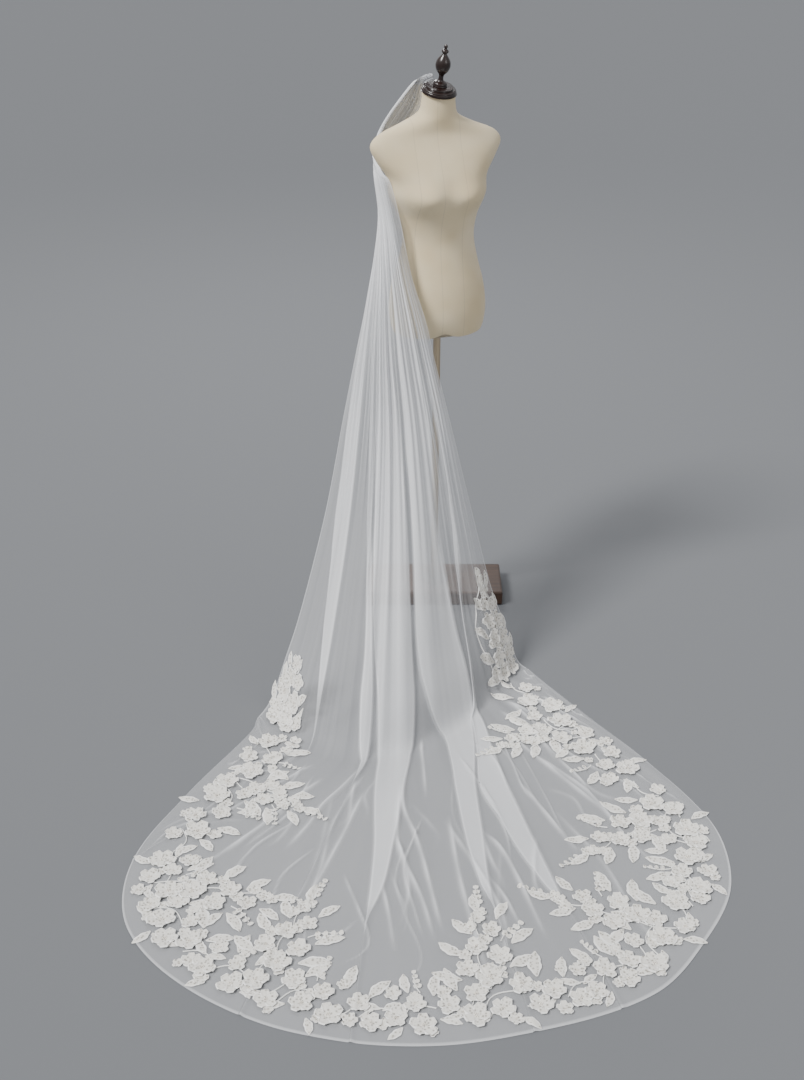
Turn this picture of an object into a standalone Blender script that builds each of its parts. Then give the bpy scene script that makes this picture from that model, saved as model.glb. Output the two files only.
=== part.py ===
"""Bridal veil on a limbless dress form: metres, +Z up, origin on the floor under the pole.

The veil hangs from the form's neck cap, passes behind one shoulder, falls past the waist and
the hip, and lies on the floor in front as a wide rounded train with a lace border.
"""

import math

import bmesh
import bpy
import numpy as np
from mathutils import Matrix
from mathutils.geometry import delaunay_2d_cdt

WALL = 0.0012  # the tulle
LACE_THICK = 0.0012
GAP = 0.0003  # between pieces that touch on the real veil
SEAM_GAP = 0.0009  # the walls' edges lean towards each other at the seam between fall and train
SEAM_LEVEL = 9  # row of LEVELS where the fall ends and the train begins

# Veil: one row for each level down the fall. z, then the left edge, the front and the right edge
# of the cloth in plan (x, y), and the depth of the gathers there.
LEVELS = (
    (1.42, (-0.178, 0.055), (-0.184, -0.015), (-0.152, -0.064), 0.0030),
    (1.30, (-0.171, 0.005), (-0.162, -0.060), (-0.111, -0.090), 0.0040),
    (1.16, (-0.200, -0.070), (-0.154, -0.128), (-0.081, -0.125), 0.0060),
    (1.03, (-0.226, -0.125), (-0.149, -0.190), (-0.037, -0.172), 0.0080),
    (0.93, (-0.249, -0.165), (-0.144, -0.245), (-0.013, -0.200), 0.0100),
    (0.75, (-0.288, -0.245), (-0.134, -0.355), (0.035, -0.258), 0.0120),
    (0.50, (-0.341, -0.370), (-0.131, -0.535), (0.099, -0.325), 0.0140),
    (0.25, (-0.413, -0.520), (-0.135, -0.730), (0.166, -0.392), 0.0140),
    (0.12, (-0.462, -0.608), (-0.137, -0.835), (0.216, -0.425), 0.0120),
    (0.03, (-0.502, -0.675), (-0.139, -0.905), (0.249, -0.449), 0.0090),
    (0.00, (-0.534, -0.735), (-0.139, -0.955), (0.273, -0.472), 0.0070),
)

# Train's hem on the floor, left to right: place across the cloth, x, y.
HEM = (
    (0.00, -0.541, -0.757),
    (0.03, -0.557, -0.828),
    (0.08, -0.697, -1.097),
    (0.16, -0.806, -1.375),
    (0.22, -0.789, -1.595),
    (0.28, -0.654, -1.775),
    (0.36, -0.404, -1.925),
    (0.44, -0.104, -1.981),
    (0.52, 0.192, -1.940),
    (0.60, 0.472, -1.830),
    (0.66, 0.619, -1.665),
    (0.72, 0.723, -1.467),
    (0.78, 0.724, -1.240),
    (0.86, 0.597, -0.975),
    (0.93, 0.457, -0.760),
    (1.00, 0.294, -0.503),
)

# Place across the cloth against its share of the width of the fall, which is closer gathered
# towards the right edge.
SPREAD = (
    (0.0, 0.0),
    (0.16, 0.20),
    (0.30, 0.36),
    (0.405, 0.48),
    (0.54, 0.71),
    (0.59, 0.79),
    (0.80, 0.91),
    (1.0, 1.0),
)

# Large pressed pleats, three layers deep: place across the cloth, overlap in metres at the waist,
# the hip, the knee, the floor and a third of the way out on the train, and the share of the train
# where the pleat runs out.
PLEATS = (
    (0.200, 0.016, 0.030, 0.034, 0.026, 0.014, 0.45),
    (0.405, 0.024, 0.060, 0.110, 0.105, 0.060, 0.64),
    (0.535, 0.020, 0.045, 0.080, 0.080, 0.046, 0.67),
    (0.587, 0.018, 0.035, 0.060, 0.080, 0.052, 0.69),
)
PLEAT_LEVELS = (0.0, 0.30, 0.60, 1.0, 1.33)  # where the overlaps above are given, 1 = the floor
PLEAT_HALF = 0.023  # half of the cloth that each pleat takes up, as a share of the width
# Place down the fall and the top layer's height over the cloth.
PLEAT_LIFTS = ((0.0, 0.0080), (0.3, 0.0135), (0.6, 0.0180), (0.8, 0.0160), (1.0, 0.0110))
PLEAT_TAIL = 0.060  # the top layer comes down over this
PLEAT_OPENS = 0.85  # below this the hidden layers end, and a step in the cloth goes on
STEP_HALVES = (0.0015, 0.010)  # half of that step's width, where it starts and out on the train
STEP_REACH = 0.6  # furthest place of the step, as a share of the cloth the pleat takes up
STEP_FADE = 0.15  # it sinks over this share of the train before its tip
MIDDLE_LAYER = 0.5  # height of the middle layer in the pleat's lift
ROLL = 0.0015  # depth of a pleat's rolled edge
PLEAT_STATIONS = (-1.0, -0.7, -0.44, -0.40, -0.36, 0.0, 0.36, 0.40, 0.44, 0.7, 1.0)

GATHERS = 13  # soft folds across the whole cloth
GATHER_DRIFT = 0.35  # how unevenly they are spaced
PLAIN_COLUMNS = 40
# Train's rows: share of the way from the floor's edge (1) to the hem (2). The last stretch is flat.
TRAIN_ROWS = (1.10, 1.20, 1.30, 1.38, 1.46, 1.54, 1.62, 1.70, 2.0)
EDGE_CALM = 0.14  # the gathers are shallower over this share of the width at each side edge
EDGE_GATHER = 0.15

# Heading: inner edge, outer edge and half depth of the gathered bundle, from the finial down. The
# outer edge leads round the shoulder and becomes the fall's right edge.
HEADING = (
    ((-0.0200, 0.004, 1.7059), (-0.0220, 0.010, 1.7149), 0.0040),
    ((-0.0308, 0.008, 1.6979), (-0.0348, 0.016, 1.7139), 0.0055),
    ((-0.0468, 0.018, 1.6879), (-0.0558, 0.026, 1.7039), 0.0065),
    ((-0.0620, 0.042, 1.6636), (-0.0790, 0.040, 1.6876), 0.0080),
    ((-0.070, 0.074, 1.6190), (-0.115, 0.066, 1.6430), 0.0090),
    ((-0.095, 0.106, 1.5600), (-0.155, 0.090, 1.5850), 0.0100),
    ((-0.130, 0.120, 1.5150), (-0.190, 0.092, 1.5300), 0.0100),
    ((-0.166, 0.112, 1.4720), (-0.208, 0.040, 1.4800), 0.0085),
    ((-0.180, 0.076, 1.4380), (-0.180, -0.034, 1.4420), 0.0070),
    ((-0.180, 0.058, 1.42035), (-0.160, -0.060, 1.42035), 0.0060),
)
HEADING_RIBS = 7
HEADING_RIB_DEPTH = 0.22
HEADING_COLUMNS = 28
HEADING_BULGE = 0.016  # how far the bundle bows round the shoulder

# Lace border, one repeat, in metres along the hem and in from it: flowers (along, inward, radius),
# leaves (along, inward, length, heading in degrees) and the stems that join them (from, to).
FLOWERS = (
    (0.045, 0.048, 0.044),
    (0.130, 0.072, 0.040),
    (0.220, 0.048, 0.045),
    (0.310, 0.078, 0.041),
    (0.396, 0.050, 0.043),
    (0.470, 0.076, 0.036),
    (0.160, 0.155, 0.036),
    (0.172, 0.222, 0.028),
)
LEAVES = (
    (0.032, 0.070, 0.090, 92.0),
    (0.170, 0.155, 0.085, 15.0),
    (0.150, 0.160, 0.080, 160.0),
    (0.174, 0.226, 0.062, 80.0),
    (0.300, 0.100, 0.090, 70.0),
    (0.478, 0.088, 0.070, 86.0),
)
STEMS = (
    ((0.045, 0.048), (0.130, 0.072)),
    ((0.130, 0.072), (0.220, 0.048)),
    ((0.220, 0.048), (0.310, 0.078)),
    ((0.310, 0.078), (0.396, 0.050)),
    ((0.396, 0.050), (0.470, 0.076)),
    ((0.130, 0.072), (0.160, 0.155)),
    ((0.160, 0.155), (0.172, 0.222)),
)
SHALLOW = 0.12  # the end repeats keep only what starts within this of the hem
# Lace that climbs each side edge of the fall, in metres across from the edge and up from the
# floor's edge, built like a repeat.
EDGE_FLOWERS = ((0.052, 0.045, 0.040), (0.060, 0.132, 0.038), (0.065, 0.215, 0.034))
EDGE_LEAVES = ((0.070, 0.060, 0.075, 30.0), (0.065, 0.235, 0.070, 80.0), (0.070, 0.150, 0.070, 50.0))
EDGE_STEMS = (((0.052, 0.045), (0.060, 0.132)), ((0.060, 0.132), (0.065, 0.215)))
STEM_WIDTH = 0.009
PETALS = 5
PETAL_NOTCH = 0.66  # radius between two petals, as a share of the flower's
LEAF_WIDTH = 0.40  # of its length
LACE_MARGIN = 0.008  # plain tulle left outside the lace
BORDER_DEPTH = 0.35  # the train lies flat this far in from its hem
BORDER_FADE = 0.10  # and rises to its folds over this
# Where each repeat starts along the hem, in metres from its left end, and whether it is turned
# end for end.
REPEAT_SPAN = 0.53
REPEATS = (
    (0.12, False),
    (0.64, False),
    (1.16, False),
    (1.68, False),
    (2.18, True),
    (2.70, True),
    (3.22, True),
)

FORM_TURN = math.radians(17.0)  # the form faces a little to the right
NECK_TILT = math.radians(14.0)  # forwards
NECK_LEAN = math.radians(4.0)  # to the right
# Form: z, sideways shift, half width, front, back (before the form is turned) and share of the
# neck's tilt.
FORM_SECTIONS = (
    (0.9550, 0.000, 0.141, -0.110, 0.122, 0.0),
    (0.9750, 0.000, 0.147, -0.115, 0.128, 0.0),
    (1.0260, 0.000, 0.152, -0.119, 0.134, 0.0),
    (1.1000, 0.000, 0.143, -0.111, 0.126, 0.0),
    (1.1700, 0.000, 0.124, -0.097, 0.103, 0.0),
    (1.2450, 0.000, 0.110, -0.087, 0.083, 0.0),
    (1.3100, -0.003, 0.120, -0.098, 0.083, 0.0),
    (1.3800, -0.006, 0.148, -0.126, 0.088, 0.0),
    (1.4300, -0.007, 0.153, -0.110, 0.094, 0.0),
    (1.4850, -0.010, 0.186, -0.078, 0.090, 0.0),
    (1.5250, -0.010, 0.200, -0.054, 0.082, 0.0),
    (1.5550, -0.009, 0.174, -0.042, 0.074, 0.0),
    (1.5800, -0.007, 0.112, -0.042, 0.064, 0.2),
    (1.6050, -0.005, 0.062, -0.045, 0.054, 0.5),
    (1.6400, -0.004, 0.050, -0.046, 0.048, 1.0),
    (1.6660, -0.004, 0.049, -0.046, 0.047, 1.0),
)
NECK_CENTRE = (-0.004, 0.0)
FORM_COLUMNS = 24
FORM_RINGS = 24

NECK_TOP = 1.6660
# Cap and finial: height over the neck and radius of each turned step.
CAP_PROFILE = (
    (0.020, 0.0), (0.020, 0.040), (0.014, 0.043), (0.012, 0.049), (0.003, 0.051), (0.0, 0.049), (0.0, 0.0),
)
FINIAL_PROFILE = (
    (0.120, 0.0), (0.118, 0.0035), (0.113, 0.0055), (0.108, 0.0035), (0.103, 0.0085), (0.098, 0.0100),
    (0.093, 0.0060), (0.083, 0.0130), (0.070, 0.0205), (0.057, 0.0215), (0.044, 0.0170), (0.034, 0.0085),
    (0.024, 0.0070), (0.015, 0.0095), (0.010, 0.0185), (0.003, 0.0205), (0.0, 0.0200), (0.0, 0.0),
)
TURN_STEPS = 20

POLE_RADIUS = 0.0115
COLLAR_RADIUS = 0.0150
COLLAR_BOTTOM = 0.930
FLANGE_RADIUS = 0.045
FLANGE_THICK = 0.006
BASE_SIZE = (0.460, 0.200, 0.050)
BASE_ROUND = 0.006


def between(table, x):
    """Smooth curve through the rows of a table, whose first column is x."""
    table = [(row[0], np.array(row[1:], float)) for row in table]
    places = [row[0] for row in table]
    k = int(np.clip(np.searchsorted(places, x) - 1, 0, len(table) - 2))
    x0, p0 = table[k]
    x1, p1 = table[k + 1]
    before = table[k - 1] if k > 0 else (2 * x0 - x1, 2 * p0 - p1)
    after = table[k + 2] if k + 2 < len(table) else (2 * x1 - x0, 2 * p1 - p0)
    step = x1 - x0
    slope0 = (p1 - before[1]) / (x1 - before[0]) * step
    slope1 = (after[1] - p0) / (after[0] - x0) * step
    s = (x - x0) / step
    return (
        (2 * s**3 - 3 * s**2 + 1) * p0
        + (s**3 - 2 * s**2 + s) * slope0
        + (3 * s**2 - 2 * s**3) * p1
        + (s**3 - s**2) * slope1
    )


def smooth(low, high, x):
    s = min(max((x - low) / (high - low), 0.0), 1.0)
    return s * s * (3 - 2 * s)


LEVEL_TABLE = tuple(
    (k / (len(LEVELS) - 1), *left, *front, *right, z, depth)
    for k, (z, left, front, right, depth) in enumerate(LEVELS)
)


def smooth_cloth(u, t):
    """Point of the cloth without folds: u runs across it, t from the heading (0) over the floor's
    edge (1) to the hem (2)."""
    row = between(LEVEL_TABLE, min(t, 1.0))
    share = float(between(SPREAD, u)[0])
    left = (1 - share) * (1 - 2 * share)
    front = 4 * share * (1 - share)
    right = share * (2 * share - 1)
    x, y = left * row[0:2] + front * row[2:4] + right * row[4:6]
    z = max(float(row[6]), 0.0)
    if t <= 1.0:
        return np.array((x, y, z))
    hem_x, hem_y = between(HEM, min(max(u, 0.0), 1.0))
    out = t - 1.0
    return np.array((x + (hem_x - x) * out, y + (hem_y - y) * out, 0.0))


def frame_at(u, t):
    """Point, unit normal and metres a unit of u there."""
    step = 1e-3
    across = (smooth_cloth(u + step, t) - smooth_cloth(u - step, t)) / (2 * step)
    t0 = max(t - step, 0.0)
    t1 = min(t + step, 2.0)
    down = (smooth_cloth(u, t1) - smooth_cloth(u, t0)) / (t1 - t0)
    normal = np.cross(down, across)
    return smooth_cloth(u, t), normal / np.linalg.norm(normal), float(np.linalg.norm(across))


HEM_SAMPLES = np.array([between(HEM, k / 300) for k in range(301)])


def past_border(point, t):
    """How far inside the flat border a point of the train lies, in metres."""
    if t < 1.0:
        return 1.0
    return float(np.min(np.linalg.norm(HEM_SAMPLES - point[:2], axis=1))) - BORDER_DEPTH


def pleat_state(pleat, t):
    """Overlap as a share of the width, whether the pleat has opened, its lift, and metres a unit
    of width."""
    place, *overlaps, tip = pleat
    speed = frame_at(place, t)[2]
    width = float(between(tuple(zip(PLEAT_LEVELS, overlaps)), min(t, PLEAT_LEVELS[-1]))[0])
    lift = float(between(PLEAT_LIFTS, min(t, 1.0))[0]) * smooth(0.0, STEP_FADE, 1.0 + tip - t)
    return width / speed, t > PLEAT_OPENS, lift, speed


def step_of(width, speed, t):
    """Middle and half width of an open pleat's step, from the middle of the pleat."""
    narrow, wide = STEP_HALVES
    return max(-width / 2, -STEP_REACH * PLEAT_HALF), (narrow + (wide - narrow) * smooth(0.9, 1.2, t)) / speed


def folded(u, t, states):
    """Where a pleat carries this part of the cloth (u), and how high over the cloth below."""
    place = u
    for pleat, (width, opened, _, speed) in zip(PLEATS, states):
        q = (u - pleat[0]) / PLEAT_HALF
        if abs(q) >= 1:
            continue
        at = (-1.0, -0.44, -0.40, -0.36, 0.36, 0.40, 0.44, 1.0)
        if opened:
            edge, half = step_of(width, speed, t)
            middle = [edge + half * share for share in (-1.0, -0.75, -0.5, 0.5, 0.75, 1.0)]
        else:
            roll = width / 2 - ROLL / speed
            middle = [roll, width / 2, roll, -roll, -width / 2, -roll]
        stations = (-PLEAT_HALF, *middle, PLEAT_HALF)
        place = pleat[0] + float(np.interp(q, at, stations))
    height = 0.0
    for pleat, (width, opened, lift, speed) in zip(PLEATS, states):
        q = (u - pleat[0]) / PLEAT_HALF
        off = place - pleat[0]
        layer = float(np.interp(q, (-0.44, -0.36, 0.36, 0.44), (0.0, MIDDLE_LAYER, MIDDLE_LAYER, 1.0)))
        if opened:
            edge, half = step_of(width, speed, t)
            layer = smooth(edge - half, edge + half, off)
        if opened or q > 0.40:
            layer *= 1 - smooth(2 * ROLL, 2 * ROLL + PLEAT_TAIL, (off - width / 2) * speed)
        height += layer * lift
    return place, height


def gather(place, t, states):
    """Soft uneven folds, as a height over the cloth. The pleats' layers lie smooth."""
    phase = 2 * math.pi * GATHERS * (place + GATHER_DRIFT / GATHERS * math.sin(5 * math.pi * place))
    depth = float(between(LEVEL_TABLE, min(t, 1.0))[7])
    depth *= EDGE_GATHER + (1 - EDGE_GATHER) * smooth(0.0, EDGE_CALM, min(place, 1 - place))
    for pleat, (width, opened, _, _) in zip(PLEATS, states):
        off = smooth(width / 2, width / 2 + PLEAT_HALF, abs(place - pleat[0]))
        depth *= 1.0 if opened else off
    return depth * (0.5 + 0.5 * math.cos(phase))


def cloth_row(us, t):
    """The veil's inner face at one place down it, for each place across."""
    states = [pleat_state(pleat, t) for pleat in PLEATS]
    found = []
    for u in us:
        place, height = folded(u, t, states)
        point, normal, _ = frame_at(place, t)
        free = smooth(0.0, BORDER_FADE, past_border(point, t))
        found.append(point + normal * (height + gather(place, t, states)) * free)
    return found


def columns():
    """Places across the cloth: even ones, and each pleat's own."""
    own = [p[0] + PLEAT_HALF * q for p in PLEATS for q in PLEAT_STATIONS]
    even = [
        k / PLAIN_COLUMNS
        for k in range(PLAIN_COLUMNS + 1)
        if all(abs(k / PLAIN_COLUMNS - p[0]) > PLEAT_HALF * 1.15 for p in PLEATS)
    ]
    return sorted(own + even)


def rows():
    """Places down the cloth: the levels, then the train's rows."""
    levels = [k / (len(LEVELS) - 1) for k in range(len(LEVELS))]
    return levels + list(TRAIN_ROWS)


def collection(name):
    found = bpy.data.collections.new(name)
    bpy.context.scene.collection.children.link(found)
    return found


def material(name, colour, roughness, metallic=0.0, alpha=1.0):
    made = bpy.data.materials.new(name)
    made.use_nodes = True
    shader = made.node_tree.nodes["Principled BSDF"]
    shader.inputs["Base Color"].default_value = (*colour, 1.0)
    shader.inputs["Roughness"].default_value = roughness
    shader.inputs["Metallic"].default_value = metallic
    shader.inputs["Alpha"].default_value = alpha
    return made


def mesh_object(name, points, faces, look, into):
    mesh = bpy.data.meshes.new(name)
    mesh.from_pydata([tuple(map(float, p)) for p in points], [], faces)
    mesh.validate()
    mesh.materials.append(look)
    made = bpy.data.objects.new(name, mesh)
    into.objects.link(made)
    return made


def thicken(made, thickness):
    wall = made.modifiers.new("wall", "SOLIDIFY")
    wall.thickness = thickness
    wall.offset = 1.0
    return made


def grid_faces(count_down, count_across):
    """Triangles of a grid, wound so that they face out of the fall and up on the floor."""
    faces = []
    for j in range(count_down - 1):
        for i in range(count_across - 1):
            a = j * count_across + i
            b = a + count_across
            faces += [(a, b, b + 1), (a, b + 1, a + 1)]
    return faces


def build_tulle(us, ts, look, into):
    """The fall and the train, one open surface each, with the seam's gap between them."""
    points = np.array([cloth_row(us, t) for t in ts])
    fall = points[: SEAM_LEVEL + 1]
    train = points[SEAM_LEVEL:].copy()
    step = train[1] - train[0]
    train[0] += step / np.linalg.norm(step, axis=1)[:, None] * SEAM_GAP
    for name, part in (("veil_fall", fall), ("veil_train", train)):
        made = mesh_object(name, part.reshape(-1, 3), grid_faces(*part.shape[:2]), look, into)
        thicken(made, WALL)
    return points


def build_heading(look, into):
    """Gathered cloth above the fall, its hidden layers as one ribbed bundle."""
    rings = []
    count = len(HEADING)
    middles = [(np.array(inner) + np.array(outer)) / 2 for inner, outer, _ in HEADING]
    for k, (inner, outer, depth) in enumerate(HEADING):
        along = middles[min(k + 1, count - 1)] - middles[max(k - 1, 0)]
        if k == count - 1:
            along = np.array((0.0, 0.0, -1.0))
        wide = (np.array(inner) - np.array(outer)) / 2
        away = np.cross(wide, along)
        away /= np.linalg.norm(away)
        bow = HEADING_BULGE * smooth(5.0, 8.0, k)
        ring = []
        for i in range(HEADING_COLUMNS):
            angle = 2 * math.pi * i / HEADING_COLUMNS
            rib = 1 + HEADING_RIB_DEPTH * math.cos(2 * HEADING_RIBS * angle)
            out = depth * rib * math.sin(angle) + bow * math.sin(angle) ** 2
            ring.append(middles[k] + wide * math.cos(angle) + away * out)
        rings.append(ring)
    points = [p for ring in rings for p in ring]
    faces = []
    for k in range(count - 1):
        for i in range(HEADING_COLUMNS):
            n = (i + 1) % HEADING_COLUMNS
            a = k * HEADING_COLUMNS
            b = a + HEADING_COLUMNS
            faces.append((a + i, b + i, b + n, a + n))
    faces.append(tuple(range(HEADING_COLUMNS)))
    faces.append(tuple(reversed(range((count - 1) * HEADING_COLUMNS, count * HEADING_COLUMNS))))
    made = mesh_object("veil_heading", points, faces, look, into)
    face_out(made)
    return made


def face_out(made):
    shape = bmesh.new()
    shape.from_mesh(made.data)
    bmesh.ops.recalc_face_normals(shape, faces=shape.faces)
    shape.to_mesh(made.data)
    shape.free()


def flower_outline(radius):
    outline = []
    for k in range(PETALS):
        for offset, reach in ((0.0, 1.0), (0.5, PETAL_NOTCH)):
            angle = 2 * math.pi * (k + offset) / PETALS
            outline.append((reach * radius * math.cos(angle), reach * radius * math.sin(angle)))
    return outline


def leaf_outline(length, heading):
    """Almond that starts just behind the origin."""
    c = math.cos(math.radians(heading))
    s = math.sin(math.radians(heading))
    half = LEAF_WIDTH / 2
    shape = ((-0.08, 0.0), (0.45, -half), (1.0, 0.0), (0.45, half))
    return [(length * (a * c - b * s), length * (a * s + b * c)) for a, b in shape]


def stem_outline(start, end):
    start, end = np.array(start), np.array(end)
    across = np.array((start[1] - end[1], end[0] - start[0]))
    across *= STEM_WIDTH / 2 / np.linalg.norm(across)
    return [start + across, start - across, end - across, end + across]


def outlines_of(flowers, leaves, stems, place):
    """Outline of each motif, where place(x, y) gives a motif's anchor and its two local axes."""
    found = []
    shapes = [(x, y, flower_outline(radius)) for x, y, radius in flowers]
    shapes += [(x, y, leaf_outline(length, heading)) for x, y, length, heading in leaves]
    for x, y, shape in shapes:
        at, first, second = place(x, y)
        found.append([at + first * a + second * b for a, b in shape])
    for start, end in stems:
        found.append([place(*corner)[0] for corner in stem_outline(start, end)])
    return found


def joined(outlines, extra=()):
    """Corners and triangles that the outlines cover together, cut along the extra edges."""
    flat = []
    loops = []
    for outline in outlines:
        loop = list(range(len(flat), len(flat) + len(outline)))
        flat += [tuple(map(float, corner)) for corner in outline]
        loops.append(loop if loop_area([flat[v] for v in loop]) > 0 else loop[::-1])
    edges = []
    for start, end in extra:
        edges.append((len(flat), len(flat) + 1))
        flat += [start, end]
    corners, _, triangles, _, _, sources = delaunay_2d_cdt(flat, edges, loops, 0, 1e-6)
    kept = [tri for tri, source in zip(triangles, sources) if source]
    used = sorted({v for tri in kept for v in tri})
    renumber = {v: k for k, v in enumerate(used)}
    return [corners[v] for v in used], [tuple(renumber[v] for v in tri) for tri in kept]


def hem_place(along):
    """Point of the hem, and the directions along it and into the train."""
    places = np.linspace(0.0, 1.0, len(HEM_SAMPLES))
    steps = np.linalg.norm(np.diff(HEM_SAMPLES, axis=0), axis=1)
    u = float(np.interp(along, np.concatenate([[0.0], np.cumsum(steps)]), places))
    forward = between(HEM, min(u + 0.01, 1.0)) - between(HEM, max(u - 0.01, 0.0))
    forward /= np.linalg.norm(forward)
    return between(HEM, u), forward, np.array((-forward[1], forward[0]))


def build_border(index, start, flipped, look, into):
    """One repeat of the border, on the flat stretch of the train."""

    def place(x, y):
        hem, forward, inward = hem_place(start + (REPEAT_SPAN - x if flipped else x))
        return hem + inward * (y + LACE_MARGIN), -forward if flipped else forward, inward

    depth = SHALLOW if index in (0, len(REPEATS) - 1) else BORDER_DEPTH
    flowers = [row for row in FLOWERS if row[1] < depth]
    leaves = [row for row in LEAVES if row[1] < depth]
    stems = [row for row in STEMS if row[1][1] < depth]
    corners, faces = joined(outlines_of(flowers, leaves, stems, place))
    points = [(x, y, WALL + GAP) for x, y in corners]
    made = mesh_object(f"lace_{index + 1:02d}", points, faces, look, into)
    thicken(made, LACE_THICK)


def build_edge_lace(name, right, us, ts, grid, look, into):
    """Lace up a side edge of the fall, cut along the tulle's own facets and laid on them."""

    def place(x, y):
        u = 1.0 if right else 0.0
        t = 1.0
        for _ in range(8):
            across = frame_at(u, t)[2]
            u = 1.0 - x / across if right else x / across
            drop = np.linalg.norm(smooth_cloth(u, t) - smooth_cloth(u, t - 0.02)) / 0.02
            t = 1.0 - y / drop
        side = -1.0 if right else 1.0
        spot = np.array((np.interp(u, us, range(len(us))), np.interp(t, ts, range(len(ts)))))
        step_u = np.interp(u + side * 0.01 / across, us, range(len(us))) - spot[0]
        step_t = np.interp(t - 0.01 / drop, ts, range(len(ts))) - spot[1]
        return spot, np.array((step_u / 0.01, 0.0)), np.array((0.0, step_t / 0.01))

    outlines = outlines_of(EDGE_FLOWERS, EDGE_LEAVES, EDGE_STEMS, place)
    everything = np.concatenate([np.array(outline) for outline in outlines])
    low = np.floor(everything.min(axis=0)).astype(int)
    high = np.ceil(everything.max(axis=0)).astype(int)
    lines = [((i, low[1]), (i, high[1])) for i in range(low[0], high[0] + 1)]
    lines += [((low[0], j), (high[0], j)) for j in range(low[1], high[1] + 1)]
    lines += [((i, j), (i + 1, j + 1)) for i in range(low[0], high[0]) for j in range(low[1], high[1])]
    corners, faces = joined(outlines, lines)
    lifted = grid + vertex_normals(grid) * (WALL + 2 * GAP)
    points = []
    for x, y in corners:
        i = min(int(x), len(us) - 2)
        j = min(int(y), len(ts) - 2)
        a, b = x - i, y - j
        if b >= a:
            spot = lifted[j, i] * (1 - b) + lifted[j + 1, i] * (b - a) + lifted[j + 1, i + 1] * a
        else:
            spot = lifted[j, i] * (1 - a) + lifted[j, i + 1] * (a - b) + lifted[j + 1, i + 1] * b
        points.append(spot)
    made = mesh_object(name, points, [face[::-1] for face in faces], look, into)
    thicken(made, LACE_THICK)


def loop_area(corners):
    """Twice the signed area of a loop."""
    return sum(x0 * y1 - x1 * y0 for (x0, y0), (x1, y1) in zip(corners, corners[1:] + corners[:1]))


def vertex_normals(points):
    """Normals at the grid's corners, as its facets give them."""
    shape = points.shape
    flat = points.reshape(-1, 3)
    normals = np.zeros_like(flat)
    for a, b, c in grid_faces(shape[0], shape[1]):
        normals[[a, b, c]] += np.cross(flat[b] - flat[a], flat[c] - flat[a])
    return (normals / np.linalg.norm(normals, axis=1)[:, None]).reshape(shape)


def turned(name, profile, look, into, place, steps=TURN_STEPS):
    """Solid of revolution from (height, radius) rows, top to bottom."""
    mesh = bpy.data.meshes.new(name)
    points = [(radius, 0.0, height) for height, radius in profile]
    mesh.from_pydata(points, [(k, k + 1) for k in range(len(points) - 1)], [])
    mesh.materials.append(look)
    made = bpy.data.objects.new(name, mesh)
    into.objects.link(made)
    screw = made.modifiers.new("turn", "SCREW")
    screw.steps = steps
    screw.render_steps = steps
    screw.use_merge_vertices = True
    screw.merge_threshold = 0.00005
    made.matrix_world = place
    return made


def build_form(look, into):
    points = []
    first = FORM_SECTIONS[0][0]
    rise = NECK_TOP - first
    for j in range(FORM_RINGS):
        z = first + rise * j / (FORM_RINGS - 1)
        shift, half, front, back, tilt = between(FORM_SECTIONS, z)
        for k in range(FORM_COLUMNS):
            angle = 2 * math.pi * k / FORM_COLUMNS
            x = shift + half * math.cos(angle)
            y = (back if math.sin(angle) > 0 else -front) * math.sin(angle)
            lean = y * math.tan(NECK_TILT) - (x - shift) * math.tan(NECK_LEAN)
            points.append((x, y, z + tilt * lean))
    faces = []
    count = FORM_RINGS
    for j in range(count - 1):
        for i in range(FORM_COLUMNS):
            n = (i + 1) % FORM_COLUMNS
            a = j * FORM_COLUMNS
            b = a + FORM_COLUMNS
            faces.append((a + i, a + n, b + n, b + i))
    faces.append(tuple(reversed(range(FORM_COLUMNS))))
    faces.append(tuple(range((count - 1) * FORM_COLUMNS, count * FORM_COLUMNS)))
    made = mesh_object("form_torso", points, faces, look, into)
    face_out(made)
    made.matrix_world = Matrix.Rotation(FORM_TURN, 4, "Z")
    return made


def build_stand(looks, into):
    neck = (
        Matrix.Rotation(FORM_TURN, 4, "Z")
        @ Matrix.Translation((*NECK_CENTRE, NECK_TOP))
        @ Matrix.Rotation(NECK_TILT, 4, "X")
        @ Matrix.Rotation(NECK_LEAN, 4, "Y")
    )
    turned("neck_cap", CAP_PROFILE, looks["dark_wood"], into, neck @ Matrix.Translation((0, 0, GAP)))
    finial_at = CAP_PROFILE[0][0] + 2 * GAP
    turned("finial", FINIAL_PROFILE, looks["dark_wood"], into, neck @ Matrix.Translation((0, 0, finial_at)))
    form_bottom = FORM_SECTIONS[0][0]
    collar = form_bottom - GAP - COLLAR_BOTTOM
    cylinder("pole_collar", COLLAR_RADIUS, COLLAR_BOTTOM, collar, looks["metal"], into)
    flange_bottom = BASE_SIZE[2] + GAP
    pole_bottom = flange_bottom + FLANGE_THICK + GAP
    cylinder("pole", POLE_RADIUS, pole_bottom, COLLAR_BOTTOM - GAP - pole_bottom, looks["metal"], into)
    cylinder("base_flange", FLANGE_RADIUS, flange_bottom, FLANGE_THICK, looks["metal"], into)
    bpy.ops.mesh.primitive_cube_add(size=1.0, location=(0.0, 0.0, BASE_SIZE[2] / 2))
    base = bpy.context.object
    base.name = "stand_base"
    base.data.transform(Matrix.Diagonal((*BASE_SIZE, 1.0)))
    base.data.materials.append(looks["base_wood"])
    move_to(base, into)
    edge = base.modifiers.new("edge", "BEVEL")
    edge.width = BASE_ROUND
    edge.segments = 2


def cylinder(name, radius, bottom, height, look, into):
    top_down = ((height, 0.0), (height, radius), (0.0, radius), (0.0, 0.0))
    return turned(name, top_down, look, into, Matrix.Translation((0.0, 0.0, bottom)))


def move_to(made, into):
    for old in made.users_collection:
        old.objects.unlink(made)
    into.objects.link(made)


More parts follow.
